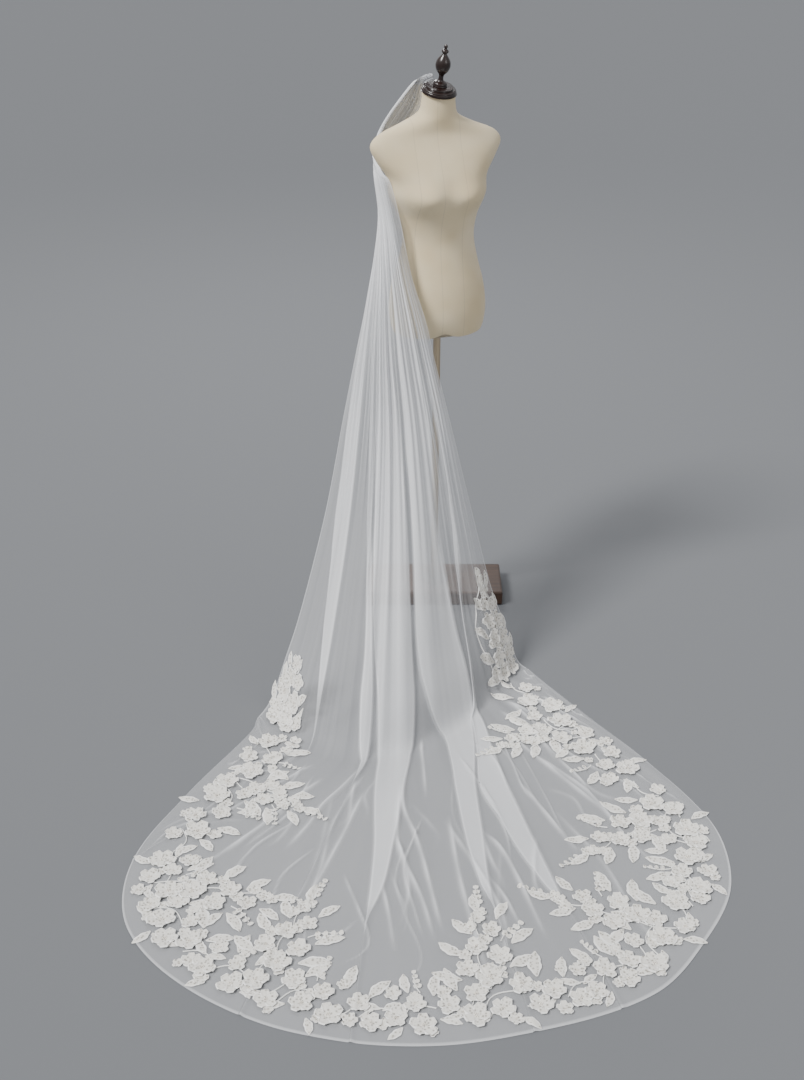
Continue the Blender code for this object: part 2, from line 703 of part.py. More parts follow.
def main():
    for old in list(bpy.data.objects):
        bpy.data.objects.remove(old)
    parts = collection("bridal_veil_on_form")
    looks = {
        "tulle": material("tulle", (0.86, 0.87, 0.88), 0.6, alpha=0.45),
        "lace": material("lace", (0.82, 0.79, 0.74), 0.7),
        "form_cloth": material("form_cloth", (0.69, 0.62, 0.50), 0.85),
        "dark_wood": material("dark_wood", (0.035, 0.015, 0.010), 0.2),
        "metal": material("metal", (0.55, 0.50, 0.44), 0.3, metallic=1.0),
        "base_wood": material("base_wood", (0.16, 0.10, 0.06), 0.45),
    }
    us = columns()
    ts = rows()
    points = build_tulle(us, ts, looks["tulle"], parts)
    build_heading(looks["tulle"], parts)
    for index, (start, flipped) in enumerate(REPEATS):
        build_border(index, start, flipped, looks["lace"], parts)
    build_edge_lace("lace_left_edge", False, us, ts, points, looks["lace"], parts)
    build_edge_lace("lace_right_edge", True, us, ts, points, looks["lace"], parts)
    build_form(looks["form_cloth"], parts)
    build_stand(looks, parts)


main()
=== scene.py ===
# %% [markdown]
# # A bridal veil on a dress form
#
# The object is a one-tier cathedral veil of sheer tulle. Its gathered top lies on the neck cap of a
# limbless dress form, passes behind one shoulder, comes round the side as an open tent and spreads
# over the floor as a rounded train, with flower and leaf lace sewn round its lower edge. The CAD
# frame gives the sizes and places. This file makes what the eye sees: the thin cloth with its
# pleats and creases, the lace, the padded form and the turned wood and metal of its stand.

# %% Load the frame
import math

import bmesh
import bpy
import numpy as np
from mathutils import Matrix, Vector
from mathutils.bvhtree import BVHTree


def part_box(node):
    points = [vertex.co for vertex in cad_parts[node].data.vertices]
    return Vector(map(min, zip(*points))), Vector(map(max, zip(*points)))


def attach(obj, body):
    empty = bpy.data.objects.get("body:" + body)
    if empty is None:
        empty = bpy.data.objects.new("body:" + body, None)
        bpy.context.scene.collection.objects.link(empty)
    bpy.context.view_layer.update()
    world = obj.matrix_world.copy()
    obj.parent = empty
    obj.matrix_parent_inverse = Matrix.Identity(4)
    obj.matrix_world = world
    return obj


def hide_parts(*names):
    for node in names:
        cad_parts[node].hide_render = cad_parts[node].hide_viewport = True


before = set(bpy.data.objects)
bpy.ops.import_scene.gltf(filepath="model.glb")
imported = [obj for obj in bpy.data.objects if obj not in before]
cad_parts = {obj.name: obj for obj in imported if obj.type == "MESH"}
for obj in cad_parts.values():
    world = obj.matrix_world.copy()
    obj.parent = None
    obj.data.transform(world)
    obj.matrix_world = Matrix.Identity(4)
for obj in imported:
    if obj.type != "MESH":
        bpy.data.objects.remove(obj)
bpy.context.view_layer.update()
print("nodes", len(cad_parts))

# %% [markdown]
# The camera is the photograph's: 2.46 m above the floor, looking 28.5 degrees down. Blender fits
# its 36 mm sensor to the picture's long side, so the lens is 36 mm times the focal length in
# pixels over that side's 1080 pixels.

# %% Camera
def new_object(name, data):
    """Object made of some data, put in the scene."""
    made = bpy.data.objects.new(name, data)
    bpy.context.scene.collection.objects.link(made)
    return made


SENSOR = 36.0
FOCAL_PIXELS = 1400.0
LONG_SIDE = 1080.0
LOOK_DOWN = 28.5

camera_data = bpy.data.cameras.new("camera")
camera_data.sensor_width = SENSOR
camera_data.lens = SENSOR * FOCAL_PIXELS / LONG_SIDE
camera = new_object("camera", camera_data)
camera.location = (-0.1095, -4.163, 2.457)
camera.rotation_euler = (math.radians(90.0 - LOOK_DOWN), 0.0, 0.0)
bpy.context.scene.camera = camera
print("lens", round(camera_data.lens, 2), "mm")


# %% [markdown]
# Colours are read as sRGB hex values, which is how they are picked off a screen, and Blender's
# shaders want linear light, so one function turns them.

# %% Colour, node and piece helpers
def linear(hex_colour):
    """Linear RGBA of an sRGB hex value such as D9CFBB."""
    parts = [int(hex_colour[k:k + 2], 16) / 255 for k in (0, 2, 4)]
    return (*[p / 12.92 if p <= 0.04045 else ((p + 0.055) / 1.055) ** 2.4 for p in parts], 1.0)


def add_node(tree, kind, values=None, links=None, **settings):
    """New node with its settings, its inputs' values and its inputs' links."""
    node = tree.nodes.new(kind)
    for name, value in settings.items():
        setattr(node, name, value)
    for key, value in (values or {}).items():
        node.inputs[key].default_value = value
    for key, socket in (links or {}).items():
        tree.links.new(socket, node.inputs[key])
    return node


def new_material(name, hex_colour, roughness, **sockets):
    """Material with a plain Principled shader: returns it, its node tree and the shader."""
    made = bpy.data.materials.new(name)
    made.use_nodes = True
    shader = made.node_tree.nodes["Principled BSDF"]
    shader.inputs["Base Color"].default_value = linear(hex_colour)
    shader.inputs["Roughness"].default_value = roughness
    for key, value in sockets.items():
        shader.inputs[key.replace("_", " ")].default_value = value
    return made, made.node_tree, shader


def own_place(tree):
    """Place in the object's own metres."""
    return add_node(tree, "ShaderNodeTexCoord").outputs["Object"]


def noise(tree, place, scale, detail, stretch=None):
    """Noise over a place, which is scaled differently along each axis if stretch is given."""
    if stretch:
        mapping = add_node(tree, "ShaderNodeMapping", {"Scale": stretch}, {"Vector": place})
        place = mapping.outputs["Vector"]
    values = {"Scale": scale, "Detail": detail}
    return add_node(tree, "ShaderNodeTexNoise", values, {"Vector": place}).outputs["Fac"]


def map_range(tree, value, low, high, at_low, at_high):
    """at_low where the value is below low, at_high above high, and straight between them."""
    values = {"From Min": low, "From Max": high, "To Min": at_low, "To Max": at_high}
    return add_node(tree, "ShaderNodeMapRange", values, {"Value": value}).outputs["Result"]


def calc(tree, operation, *terms, **settings):
    """Math node, whose terms are numbers or sockets."""
    numbers = {k: term for k, term in enumerate(terms) if isinstance(term, float)}
    sockets = {k: term for k, term in enumerate(terms) if not isinstance(term, float)}
    node = add_node(tree, "ShaderNodeMath", numbers, sockets, operation=operation, **settings)
    return node.outputs["Value"]


def ramp(tree, factor, low, high):
    """Colour between two stops, each a position and a hex colour."""
    node = add_node(tree, "ShaderNodeValToRGB", None, {"Fac": factor})
    for k, (position, colour) in enumerate((low, high)):
        node.color_ramp.elements[k].position = position
        node.color_ramp.elements[k].color = linear(colour)
    return node.outputs["Color"]


def add_bumps(tree, shader, height, strength, distance, invert=False):
    """Relief of a height on a shader."""
    values = {"Strength": strength, "Distance": distance}
    bumps = add_node(tree, "ShaderNodeBump", values, {"Height": height}, invert=invert)
    tree.links.new(bumps.outputs["Normal"], shader.inputs["Normal"])


def deselect():
    if bpy.context.object and bpy.context.object.mode != "OBJECT":
        bpy.ops.object.mode_set(mode="OBJECT")
    bpy.ops.object.select_all(action="DESELECT")


def pick(piece):
    """Make a piece the selected and active one."""
    deselect()
    piece.select_set(True)
    bpy.context.view_layer.objects.active = piece


def declare(piece, slot, *nodes):
    """Hang a still piece on the root and hide the CAD nodes it stands for; the slot is not used."""
    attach(piece, "root")
    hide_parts(*nodes)


print("white is", linear("FFFFFF"))

# %% [markdown]
# Tulle is a hexagonal net of fine nylon yarn, woven with holes of about 1.2 mm. From a few metres
# the holes can't be seen, and one layer looks like a thin veil of white that hides about a quarter
# of what is behind it. Where the cloth is gathered, several layers lie over each other and it
# turns nearly solid. So the shader is a matt white with an Alpha that comes from a value painted
# on the mesh, "cover", times the net itself. The net is drawn with 2.4 mm holes, twice their real
# size, so that it shows in a close view.

# %% Tulle
NET_HOLE = 0.0024

tulle, tree, shader = new_material(
    "tulle_nylon_net", "F6F7F9", 0.55, Sheen_Weight=0.25, Sheen_Roughness=0.4
)
cover = add_node(tree, "ShaderNodeAttribute", attribute_name="cover", attribute_type="GEOMETRY")
cloth_uv = add_node(tree, "ShaderNodeUVMap", uv_map="cloth")
net = add_node(
    tree, "ShaderNodeTexVoronoi", {"Scale": 1 / NET_HOLE, "Randomness": 0.25},
    {"Vector": cloth_uv.outputs["UV"]}, voronoi_dimensions="2D", feature="DISTANCE_TO_EDGE",
)
yarn = map_range(tree, net.outputs["Distance"], 0.0, 0.28, 1.22, 0.86)
alpha = calc(tree, "MULTIPLY", cover.outputs["Fac"], yarn, use_clamp=True)
tree.links.new(alpha, shader.inputs["Alpha"])
print("net holes", NET_HOLE * 1000, "mm")

# %% [markdown]
# The lace is corded applique: motifs of dense stitching on net, edged with a thicker raised cord,
# cut out and sewn on the tulle. Cotton and rayon thread is warm ivory, matt in the filled parts
# and a little silky on the cord. The stitches are about 1 mm apart. The stitching leaves small
# openings through which what is behind shows darker. They are 2 to 3 mm apart on the real lace,
# and drawn 8 mm apart here, so that the picture can show them.

# %% Lace thread, cord and beads
STITCH = 0.0011
OPENING = 0.0085

lace, tree, shader = new_material("lace_stitched_cotton", "F1EEE7", 0.72, Sheen_Weight=0.2)
spot = own_place(tree)
openings = add_node(
    tree, "ShaderNodeTexVoronoi", {"Scale": 1 / OPENING, "Randomness": 0.8}, {"Vector": spot}
)
dense = ramp(tree, openings.outputs["Distance"], (0.14, "99948A"), (0.46, "EBE8E0"))
tree.links.new(dense, shader.inputs["Base Color"])
add_bumps(tree, shader, noise(tree, spot, 1 / (2 * STITCH), 2.0), 0.8, 0.0012)

cord, tree, shader = new_material("lace_rayon_cord", "FAF9F5", 0.45, Sheen_Weight=0.15)
add_bumps(tree, shader, noise(tree, own_place(tree), 1 / STITCH, 1.0), 0.4, 0.0004)

bead = new_material("glass_pearl_bead", "F2ECE2", 0.22, Coat_Weight=0.6)[0]
print("stitches", STITCH * 1000, "mm apart")

# %% [markdown]
# The form is padded and covered with a stretched cream jersey. Knitting leaves fine rows about
# 1 mm apart, and the panels meet in a seam down the centre front and princess seams over the bust.
# The seams are drawn in the form's own directions, so the coordinates are first turned with it.

# %% Form's jersey
FORM_TURN = math.radians(17.0)
KNIT_ROW = 0.0012
SEAM_WIDTH = 0.0016
PRINCESS_SEAM = 0.070
CENTRE_SEAM = 0.020

jersey, tree, shader = new_material("cotton_jersey_cream", "E2D4B6", 0.85, Sheen_Weight=0.15)
spot = own_place(tree)
facing = add_node(
    tree, "ShaderNodeMapping",
    {"Rotation": (0.0, 0.0, -FORM_TURN), "Location": (CENTRE_SEAM, 0.0, 0.0)}, {"Vector": spot},
)
axes = add_node(tree, "ShaderNodeSeparateXYZ", None, {"Vector": facing.outputs["Vector"]})
sideways = calc(tree, "ABSOLUTE", axes.outputs["X"])
off_princess = calc(tree, "ABSOLUTE", calc(tree, "SUBTRACT", sideways, PRINCESS_SEAM))
nearest = calc(tree, "MINIMUM", sideways, off_princess)
seam = map_range(tree, nearest, 0.0, SEAM_WIDTH, 1.0, 0.0)
knit = add_node(
    tree, "ShaderNodeTexWave", {"Scale": 1 / (2 * math.pi * KNIT_ROW) * 0.5, "Distortion": 0.6},
    {"Vector": spot}, bands_direction="Z",
)
tone = ramp(tree, noise(tree, spot, 7.0, 2.0), (0.3, "DECBA4"), (0.7, "EBDCBC"))
stitched = add_node(
    tree, "ShaderNodeMix", {7: linear("BBAE96")}, {0: calc(tree, "MULTIPLY", seam, 0.45), 6: tone},
    data_type="RGBA",
)
tree.links.new(stitched.outputs[2], shader.inputs["Base Color"])
relief = calc(tree, "MULTIPLY_ADD", knit.outputs["Fac"], 0.25, seam)
add_bumps(tree, shader, relief, 0.35, 0.0006, invert=True)
print("knit rows", KNIT_ROW * 1000, "mm")

# %% [markdown]
# The cap and the finial are turned beech, stained dark brown and lacquered to a high gloss, so
# they show small bright reflections. The base is the same wood with a thinner satin varnish. Wood
# grain is a noise stretched along the board. The pole is polished steel tube with fine marks round
# it from polishing. Its colour is warmer and lighter than bare steel: a painted warm reflection.
# The flange on the base has a dark, dull metal colour, painted shade that keeps it from showing a
# bright reflection.

# %% Wood and metal
dark_wood, tree, shader = new_material(
    "beech_stained_lacquered", "2A1711", 0.34, Coat_Weight=0.5, Coat_Roughness=0.10
)
grain = noise(tree, own_place(tree), 1.0, 4.0, (90.0, 90.0, 9.0))
stain = ramp(tree, grain, (0.0, "100806"), (1.0, "2C1710"))
tree.links.new(stain, shader.inputs["Base Color"])

base_wood, tree, shader = new_material("beech_varnished", "5A4030", 0.42, Coat_Weight=0.3)
grain = noise(tree, own_place(tree), 1.0, 6.0, (6.0, 80.0, 80.0))
stain = ramp(tree, grain, (0.3, "2E1F17"), (0.7, "4C3628"))
tree.links.new(stain, shader.inputs["Base Color"])
add_bumps(tree, shader, grain, 0.15, 0.0003)

# Painted reflection: the base colour is warmer and lighter than bare steel, for the warm light it
# reflects.
steel, tree, shader = new_material("steel_polished_painted_warm_reflection", "C6B69D", 0.38, Metallic=1.0)
add_bumps(tree, shader, noise(tree, own_place(tree), 1.0, 2.0, (8.0, 8.0, 700.0)), 0.05, 0.0001)

# Painted shade: the flange's metal is given a dark colour so that it shows no bright reflection.
flange_painted_shade = new_material("steel_painted_shade_dark", "55504B", 0.55, Metallic=1.0)[0]
print("materials", len(bpy.data.materials))


# %% [markdown]
# The shapes are read off tables of a few rows. A smooth curve runs through the rows of a table,
# and gives the value at any place between them.

# %% A smooth curve through a table
def curve_through(table):
    """Function that reads a smooth curve through a table, whose first column is its place."""
    rows = np.array(table, float)
    rows = np.concatenate([[2 * rows[0] - rows[1]], rows, [2 * rows[-1] - rows[-2]]])
    places, values = rows[:, 0], rows[:, 1:]

    def read(x):
        x = np.asarray(x, float)
        k = np.clip(np.searchsorted(places[1:-1], x) - 1, 0, len(places) - 4)
        step = places[k + 2] - places[k + 1]
        s = ((x - places[k + 1]) / step)[..., None]
        step = step[..., None]
        p0, p1 = values[k + 1], values[k + 2]
        slope0 = (p1 - values[k]) / (places[k + 2] - places[k])[..., None] * step
        slope1 = (values[k + 3] - p0) / (places[k + 3] - places[k + 1])[..., None] * step
        return (
            (2 * s**3 - 3 * s**2 + 1) * p0 + (s**3 - 2 * s**2 + s) * slope0
            + (3 * s**2 - 2 * s**3) * p1 + (s**3 - s**2) * slope1
        )

    return read


def ease(low, high, x):
    """0 below low, 1 above high, and a smooth step between."""
    s = np.clip((np.asarray(x, float) - low) / (high - low), 0.0, 1.0)
    return s * s * (3 - 2 * s)


print("between 0 and 2:", curve_through(((0, 0), (1, 1), (2, 4)))(np.array([0.5, 1.5])).ravel())

# %% [markdown]
# Each row of the veil's form gives the cloth's left edge, its front and its right edge at one
# level, and the depth of its gathers there. The heading narrows to a finger's breadth beside the
# finial. Below the shoulder the cloth opens like a tent, and on the floor it runs out to the hem,
# whose outline has a table of its own.

# %% The veil's levels
# Level (-1 at the finial, 0 under the shoulder, 1 at the floor), left edge, front, right edge
# (x, y, z each), depth of the gathers.
LEVELS = (
    (-1.00, -0.020, 0.004, 1.706, -0.021, 0.007, 1.712, -0.022, 0.010, 1.715, 0.0012),
    (-0.89, -0.031, 0.008, 1.698, -0.034, 0.012, 1.708, -0.035, 0.016, 1.713, 0.0014),
    (-0.78, -0.047, 0.018, 1.688, -0.052, 0.022, 1.698, -0.055, 0.026, 1.703, 0.0016),
    (-0.67, -0.052, 0.042, 1.660, -0.070, 0.043, 1.676, -0.076, 0.040, 1.684, 0.0020),
    (-0.56, -0.056, 0.074, 1.615, -0.092, 0.074, 1.630, -0.110, 0.066, 1.638, 0.0024),
    (-0.45, -0.085, 0.104, 1.560, -0.125, 0.102, 1.573, -0.150, 0.090, 1.581, 0.0026),
    (-0.34, -0.130, 0.116, 1.515, -0.158, 0.110, 1.523, -0.180, 0.090, 1.527, 0.0028),
    (-0.22, -0.164, 0.104, 1.472, -0.184, 0.080, 1.478, -0.192, 0.040, 1.478, 0.0028),
    (-0.11, -0.176, 0.072, 1.440, -0.186, 0.024, 1.442, -0.166, -0.050, 1.446, 0.0028),
    (0.00, -0.178, 0.052, 1.420, -0.183, -0.012, 1.420, -0.141, -0.077, 1.420, 0.0028),
    (0.10, -0.171, 0.005, 1.300, -0.162, -0.060, 1.300, -0.111, -0.090, 1.300, 0.0040),
    (0.20, -0.200, -0.070, 1.160, -0.154, -0.128, 1.160, -0.081, -0.125, 1.160, 0.0060),
    (0.30, -0.226, -0.125, 1.030, -0.149, -0.190, 1.030, -0.037, -0.172, 1.030, 0.0080),
    (0.40, -0.249, -0.165, 0.930, -0.144, -0.245, 0.930, -0.013, -0.200, 0.930, 0.0100),
    (0.50, -0.288, -0.245, 0.750, -0.134, -0.355, 0.750, 0.035, -0.258, 0.750, 0.0120),
    (0.60, -0.341, -0.370, 0.500, -0.131, -0.535, 0.500, 0.099, -0.325, 0.500, 0.0140),
    (0.70, -0.413, -0.520, 0.250, -0.135, -0.730, 0.250, 0.166, -0.392, 0.250, 0.0140),
    (0.80, -0.462, -0.608, 0.120, -0.137, -0.835, 0.120, 0.216, -0.425, 0.120, 0.0120),
    (0.90, -0.502, -0.675, 0.030, -0.139, -0.905, 0.030, 0.249, -0.449, 0.030, 0.0090),
    (1.00, -0.534, -0.735, 0.000, -0.139, -0.955, 0.000, 0.273, -0.472, 0.000, 0.0070),
)
# Place across the cloth, x, y: the hem on the floor.
HEM = (
    (0.00, -0.541, -0.757), (0.03, -0.557, -0.828), (0.08, -0.697, -1.097),
    (0.16, -0.806, -1.375), (0.22, -0.789, -1.595), (0.28, -0.654, -1.775),
    (0.36, -0.404, -1.925), (0.44, -0.104, -1.981), (0.52, 0.192, -1.940),
    (0.60, 0.472, -1.830), (0.66, 0.619, -1.665), (0.72, 0.723, -1.467),
    (0.78, 0.724, -1.240), (0.86, 0.597, -0.975), (0.93, 0.457, -0.760), (1.00, 0.294, -0.503),
)
# Place across the cloth against its share of the fall's width, which is gathered closer to the
# right.
SPREAD = (
    (0.0, 0.0), (0.16, 0.20), (0.30, 0.36), (0.405, 0.48),
    (0.54, 0.71), (0.59, 0.79), (0.80, 0.91), (1.0, 1.0),
)
level_at = curve_through(LEVELS)
hem_at = curve_through(HEM)
share_at = curve_through(SPREAD)
FLOOR_LEVEL = 1.0


def smooth_veil(u, t):
    """Points of the cloth without folds: u runs across it, t down it, from -1 over 1 at the
    floor's edge to 2 at the hem."""
    u, t = np.broadcast_arrays(np.asarray(u, float), np.asarray(t, float))
    row = level_at(np.minimum(t, FLOOR_LEVEL))
    s = share_at(u)
    point = (1 - s) * (1 - 2 * s) * row[..., 0:3] + 4 * s * (1 - s) * row[..., 3:6]
    point = point + s * (2 * s - 1) * row[..., 6:9]
    hem = hem_at(np.clip(u, 0.0, 1.0))
    out = np.maximum(t - FLOOR_LEVEL, 0.0)[..., None]
    flat = point[..., :2] + (hem - point[..., :2]) * out
    landing = np.clip((t - 0.8) / 0.2, 0.0, 1.0)[..., None] ** 2
    return np.concatenate([flat, np.maximum(point[..., 2:3], 0.0) * (1 - landing)], axis=-1)


def veil_frame(u, t):
    """Points, unit normals and metres a unit of u."""
    step = 1e-3
    across = (smooth_veil(u + step, t) - smooth_veil(u - step, t)) / (2 * step)
    down = smooth_veil(u, np.minimum(t + step, 2.0)) - smooth_veil(u, t - step)
    normal = np.cross(down, across)
    normal /= np.maximum(np.linalg.norm(normal, axis=-1), 1e-12)[..., None]
    return smooth_veil(u, t), normal, np.linalg.norm(across, axis=-1)


print("hem's lowest corner", smooth_veil(0.44, 2.0).round(3))

# %% [markdown]
# The tulle hangs in a few big pressed pleats, each three layers deep, and they stay bright over
# the floor, where they run out to a point. Each pleat is a short table: how far down, and where
# its two folded edges lie across the cloth. Between them the cloth turns back on itself.

# %% Pleats
# Level, place of the left folded edge, place of the right one.
PLEATS = (
    ((-1.0, 0.070, 0.150), (0.30, 0.060, 0.150), (0.58, 0.067, 0.153), (0.725, 0.127, 0.155),
     (0.92, 0.158, 0.160), (2.0, 0.159, 0.159)),
    ((-1.0, 0.210, 0.240), (0.30, 0.220, 0.250), (0.58, 0.262, 0.282), (0.695, 0.300, 0.332),
     (0.795, 0.303, 0.350), (1.02, 0.332, 0.345), (1.10, 0.338, 0.338), (2.0, 0.338, 0.338)),
    ((-1.0, 0.310, 0.430), (0.30, 0.290, 0.420), (0.50, 0.292, 0.448), (0.60, 0.306, 0.466),
     (0.70, 0.346, 0.470), (0.80, 0.372, 0.471), (1.00, 0.385, 0.458), (1.11, 0.391, 0.445),
     (1.33, 0.405, 0.430), (1.50, 0.408, 0.421), (1.64, 0.408, 0.409), (2.0, 0.408, 0.408)),
    ((-1.0, 0.500, 0.600), (0.30, 0.480, 0.600), (0.50, 0.476, 0.590), (0.60, 0.484, 0.575),
     (0.70, 0.483, 0.594), (0.80, 0.496, 0.609), (0.92, 0.520, 0.608), (1.00, 0.528, 0.586),
     (1.10, 0.525, 0.566), (1.21, 0.518, 0.547), (1.40, 0.512, 0.531), (1.55, 0.513, 0.521),
     (1.65, 0.518, 0.519), (2.0, 0.518, 0.518)),
    ((-1.0, 0.700, 0.702), (0.40, 0.720, 0.760), (0.575, 0.705, 0.730), (0.72, 0.650, 0.668),
     (0.84, 0.622, 0.634), (0.94, 0.598, 0.624), (1.02, 0.583, 0.622), (1.125, 0.565, 0.598),
     (1.235, 0.550, 0.586), (1.365, 0.555, 0.581), (1.49, 0.559, 0.578), (1.62, 0.567, 0.576),
     (1.70, 0.574, 0.575), (2.0, 0.575, 0.575)),
)
pleat_reads = [curve_through(table) for table in PLEATS]
# Columns of the mesh in each stretch: forward to a right edge, back to its left edge, and so on.
FORWARD_COLUMNS = (70, 86, 66, 92, 50, 214)
BACK_COLUMNS = (18, 16, 26, 24, 18)
LAYER_LIFT = 0.0016
FALL_LIFT = 0.0022
TAIL = 0.016


def pleated_columns(t):
    """Place of every column across one row, how far its layer is lifted, the pleats' edges, the
    lift of one layer and the length over which a pleat sinks back on the cloth."""
    edges = [read(t) for read in pleat_reads]
    places, lifts = [], []
    start, lift = 0.0, 0.0
    width = float(np.linalg.norm(np.diff(smooth_veil(np.array([0.0, 1.0]), t), axis=0)))
    layer = (LAYER_LIFT + FALL_LIFT * float(1 - ease(0.8, 1.1, t))) * min(width / 0.30, 1.0)
    tail = min(TAIL, 0.08 * width)
    for k, (left, right) in enumerate(edges):
        right = max(right, left + 1e-4)
        n, m = FORWARD_COLUMNS[k], BACK_COLUMNS[k]
        places.append(np.linspace(start, right, n, endpoint=False))
        places.append(np.linspace(right, left, m, endpoint=False))
        lifts += [np.full(n, lift), np.full(m, lift + layer)]
        start = left
        lift = lift + 2 * layer
    places.append(np.linspace(start, 1.0, FORWARD_COLUMNS[-1]))
    lifts.append(np.full(FORWARD_COLUMNS[-1], lift))
    return np.concatenate(places), np.concatenate(lifts), edges, layer, tail


print("columns", sum(FORWARD_COLUMNS) + sum(BACK_COLUMNS))


# %% [markdown]
# Between the pleats the cloth falls in soft uneven gathers, and on the floor it lies in thin sharp
# creases that fan out from the fold lines, with shallow swells between them. The main creases
# follow the photograph, the rest are spread unevenly by a fixed rule.

# %% Gathers and creases
GATHERS = 13
GATHER_DRIFT = 0.35
FINE_GATHERS = ((29, 0.40), (47, 0.34), (83, 0.17))  # count across, share of the main depth
# Crease: height, half width, then (place, level) along it.
CREASES = (
    (0.0070, 0.0055, (0.443, 1.10), (0.443, 1.215), (0.455, 1.32), (0.463, 1.43), (0.473, 1.70)),
    (0.0080, 0.0050, (0.430, 1.31), (0.445, 1.445), (0.458, 1.565), (0.466, 1.72)),
    (0.0065, 0.0045, (0.418, 1.48), (0.427, 1.595), (0.434, 1.74)),
    (0.0060, 0.0050, (0.484, 0.90), (0.480, 1.055), (0.475, 1.22)),
    (0.0080, 0.0055, (0.530, 1.37), (0.542, 1.44), (0.547, 1.52), (0.550, 1.78)),
    (0.0060, 0.0045, (0.520, 1.52), (0.530, 1.61), (0.536, 1.78)),
    (0.0070, 0.0050, (0.606, 1.28), (0.613, 1.425), (0.617, 1.60)),
    (0.0120, 0.0070, (0.338, 1.02), (0.328, 1.08), (0.304, 1.22), (0.302, 1.33), (0.292, 1.46)),
    (0.0060, 0.0060, (0.372, 1.12), (0.362, 1.30), (0.352, 1.52), (0.348, 1.66)),
    (0.0055, 0.0050, (0.402, 1.62), (0.385, 1.70), (0.362, 1.76)),
    (0.0060, 0.0055, (0.262, 1.10), (0.246, 1.32), (0.236, 1.60)),
    (0.0055, 0.0050, (0.210, 1.05), (0.190, 1.30), (0.178, 1.55)),
    (0.0050, 0.0060, (0.140, 1.02), (0.120, 1.30), (0.110, 1.60)),
    (0.0060, 0.0055, (0.660, 1.08), (0.676, 1.30), (0.690, 1.62)),
    (0.0055, 0.0050, (0.705, 1.04), (0.730, 1.28), (0.742, 1.50)),
    (0.0060, 0.0060, (0.760, 1.02), (0.790, 1.26), (0.806, 1.62)),
    (0.0050, 0.0055, (0.840, 1.05), (0.862, 1.35), (0.872, 1.62)),
    (0.0060, 0.0060, (0.500, 1.28), (0.496, 1.52), (0.500, 1.86)),
)
MORE_CREASES = 64
SWELL = 0.0012  # half the height of the shallow swells between the creases


def crease_tables():
    """Heights, widths and curves of all creases, the regular ones among them."""
    found = [(h, w, curve_through([(t, u) for u, t in line]), line[0][1], line[-1][1])
             for h, w, *line in CREASES]
    for k in range(MORE_CREASES):
        u = (k + 0.5) / MORE_CREASES + 0.011 * math.sin(7.3 * k)
        first = 1.04 + 0.42 * (0.5 + 0.5 * math.sin(2.9 * k + 1.0))
        last = min(first + 0.22 + 0.34 * (0.5 + 0.5 * math.sin(4.7 * k)), 1.97)
        bend = 0.026 * math.sin(3.7 * k + 0.5)
        kink = 0.012 * math.sin(6.1 * k)
        line = ((first, u), (0.6 * first + 0.4 * last, u + bend),
                (0.25 * first + 0.75 * last, u + bend + kink), (last, u + 0.4 * bend))
        tall = 0.0016 + 0.0044 * abs(math.sin(5.3 * k)) ** 2
        found.append((tall, 0.0040 + 0.0016 * math.sin(3.1 * k), curve_through(line), first, last))
    return found


creases = crease_tables()


def gather_height(place, t):
    """Soft folds over the smooth cloth, in metres."""
    depth = level_at(np.minimum(t, FLOOR_LEVEL))[..., 9]
    calm = 0.15 + 0.85 * ease(0.0, 0.14, np.minimum(place, 1 - place))
    phase = 2 * math.pi * GATHERS * (place + GATHER_DRIFT / GATHERS * np.sin(5 * math.pi * place))
    height = 0.5 + 0.5 * np.cos(phase)
    for count, share in FINE_GATHERS:
        wander = 0.35 * np.sin(2 * math.pi * (3.3 * place + 0.6 * t + count))
        wave = np.cos(2 * math.pi * count * place + wander + count)
        height = height + share * wave * (1 - ease(0.40, 0.75, t))
    over = ease(0.0, 0.2, -t)
    flatter = 1 - 0.40 * ease(0.40, 0.65, t) - 0.45 * ease(1.0, 1.30, t)
    return depth * calm * (height * (1 + over) - over) * flatter


def crease_height(place, t, speed):
    """Height of the floor's creases and how much cloth each gathers up, both as arrays."""
    swell = 1 + np.sin(37 * place + 5 * t) * np.sin(9 * t + 11 * place)
    height = SWELL * swell * ease(1.05, 1.3, t)
    bunched = np.zeros_like(height)
    for tall, wide, read, first, last in creases:
        inside = ease(first, first + 0.08, t) * (1 - ease(last - 0.16, last, t))
        if not np.any(inside > 0):
            continue
        line = read(np.clip(t, first, last))[..., 0]
        off = (place - line) * speed / wide
        broken = 0.75 + 0.25 * np.sin(41 * t + 90 * line)
        ridge = np.exp(-np.abs(off) ** 1.5) * inside * broken
        height = height + tall * (ridge + 0.18 * np.exp(-((off / 5.0) ** 2)) * inside)
        bunched = bunched + ridge * min(tall / 0.007, 1.0)
    return height, bunched


print("creases", len(creases))


# %% [markdown]
# Now the cloth itself. A grid primitive gives the mesh, with as many columns as the pleats need,
# and each row is then bent to its place: the smooth form, plus pleats, gathers and creases along
# its normal. A net this thin gets no thickness of its own. "cover" says how much the cloth hides.
# One layer hides about a quarter, and where a width of 1.55 m is gathered into a hand's breadth,
# many layers lie over each other.

# %% Bend the cloth
ONE_LAYER = 0.23  # share of what is behind it that one layer hides
SLIT = 0.477  # place across of the thin strip between the two front pleats
CLOTH_WIDTH = 1.55
FALL_ROWS = np.concatenate([np.linspace(-1.0, 0.0, 34, endpoint=False), np.linspace(0.0, 1.0, 96)])
TRAIN_ROWS = np.concatenate([np.linspace(1.0, 1.99, 128), (1.994, 1.997, 2.0)])


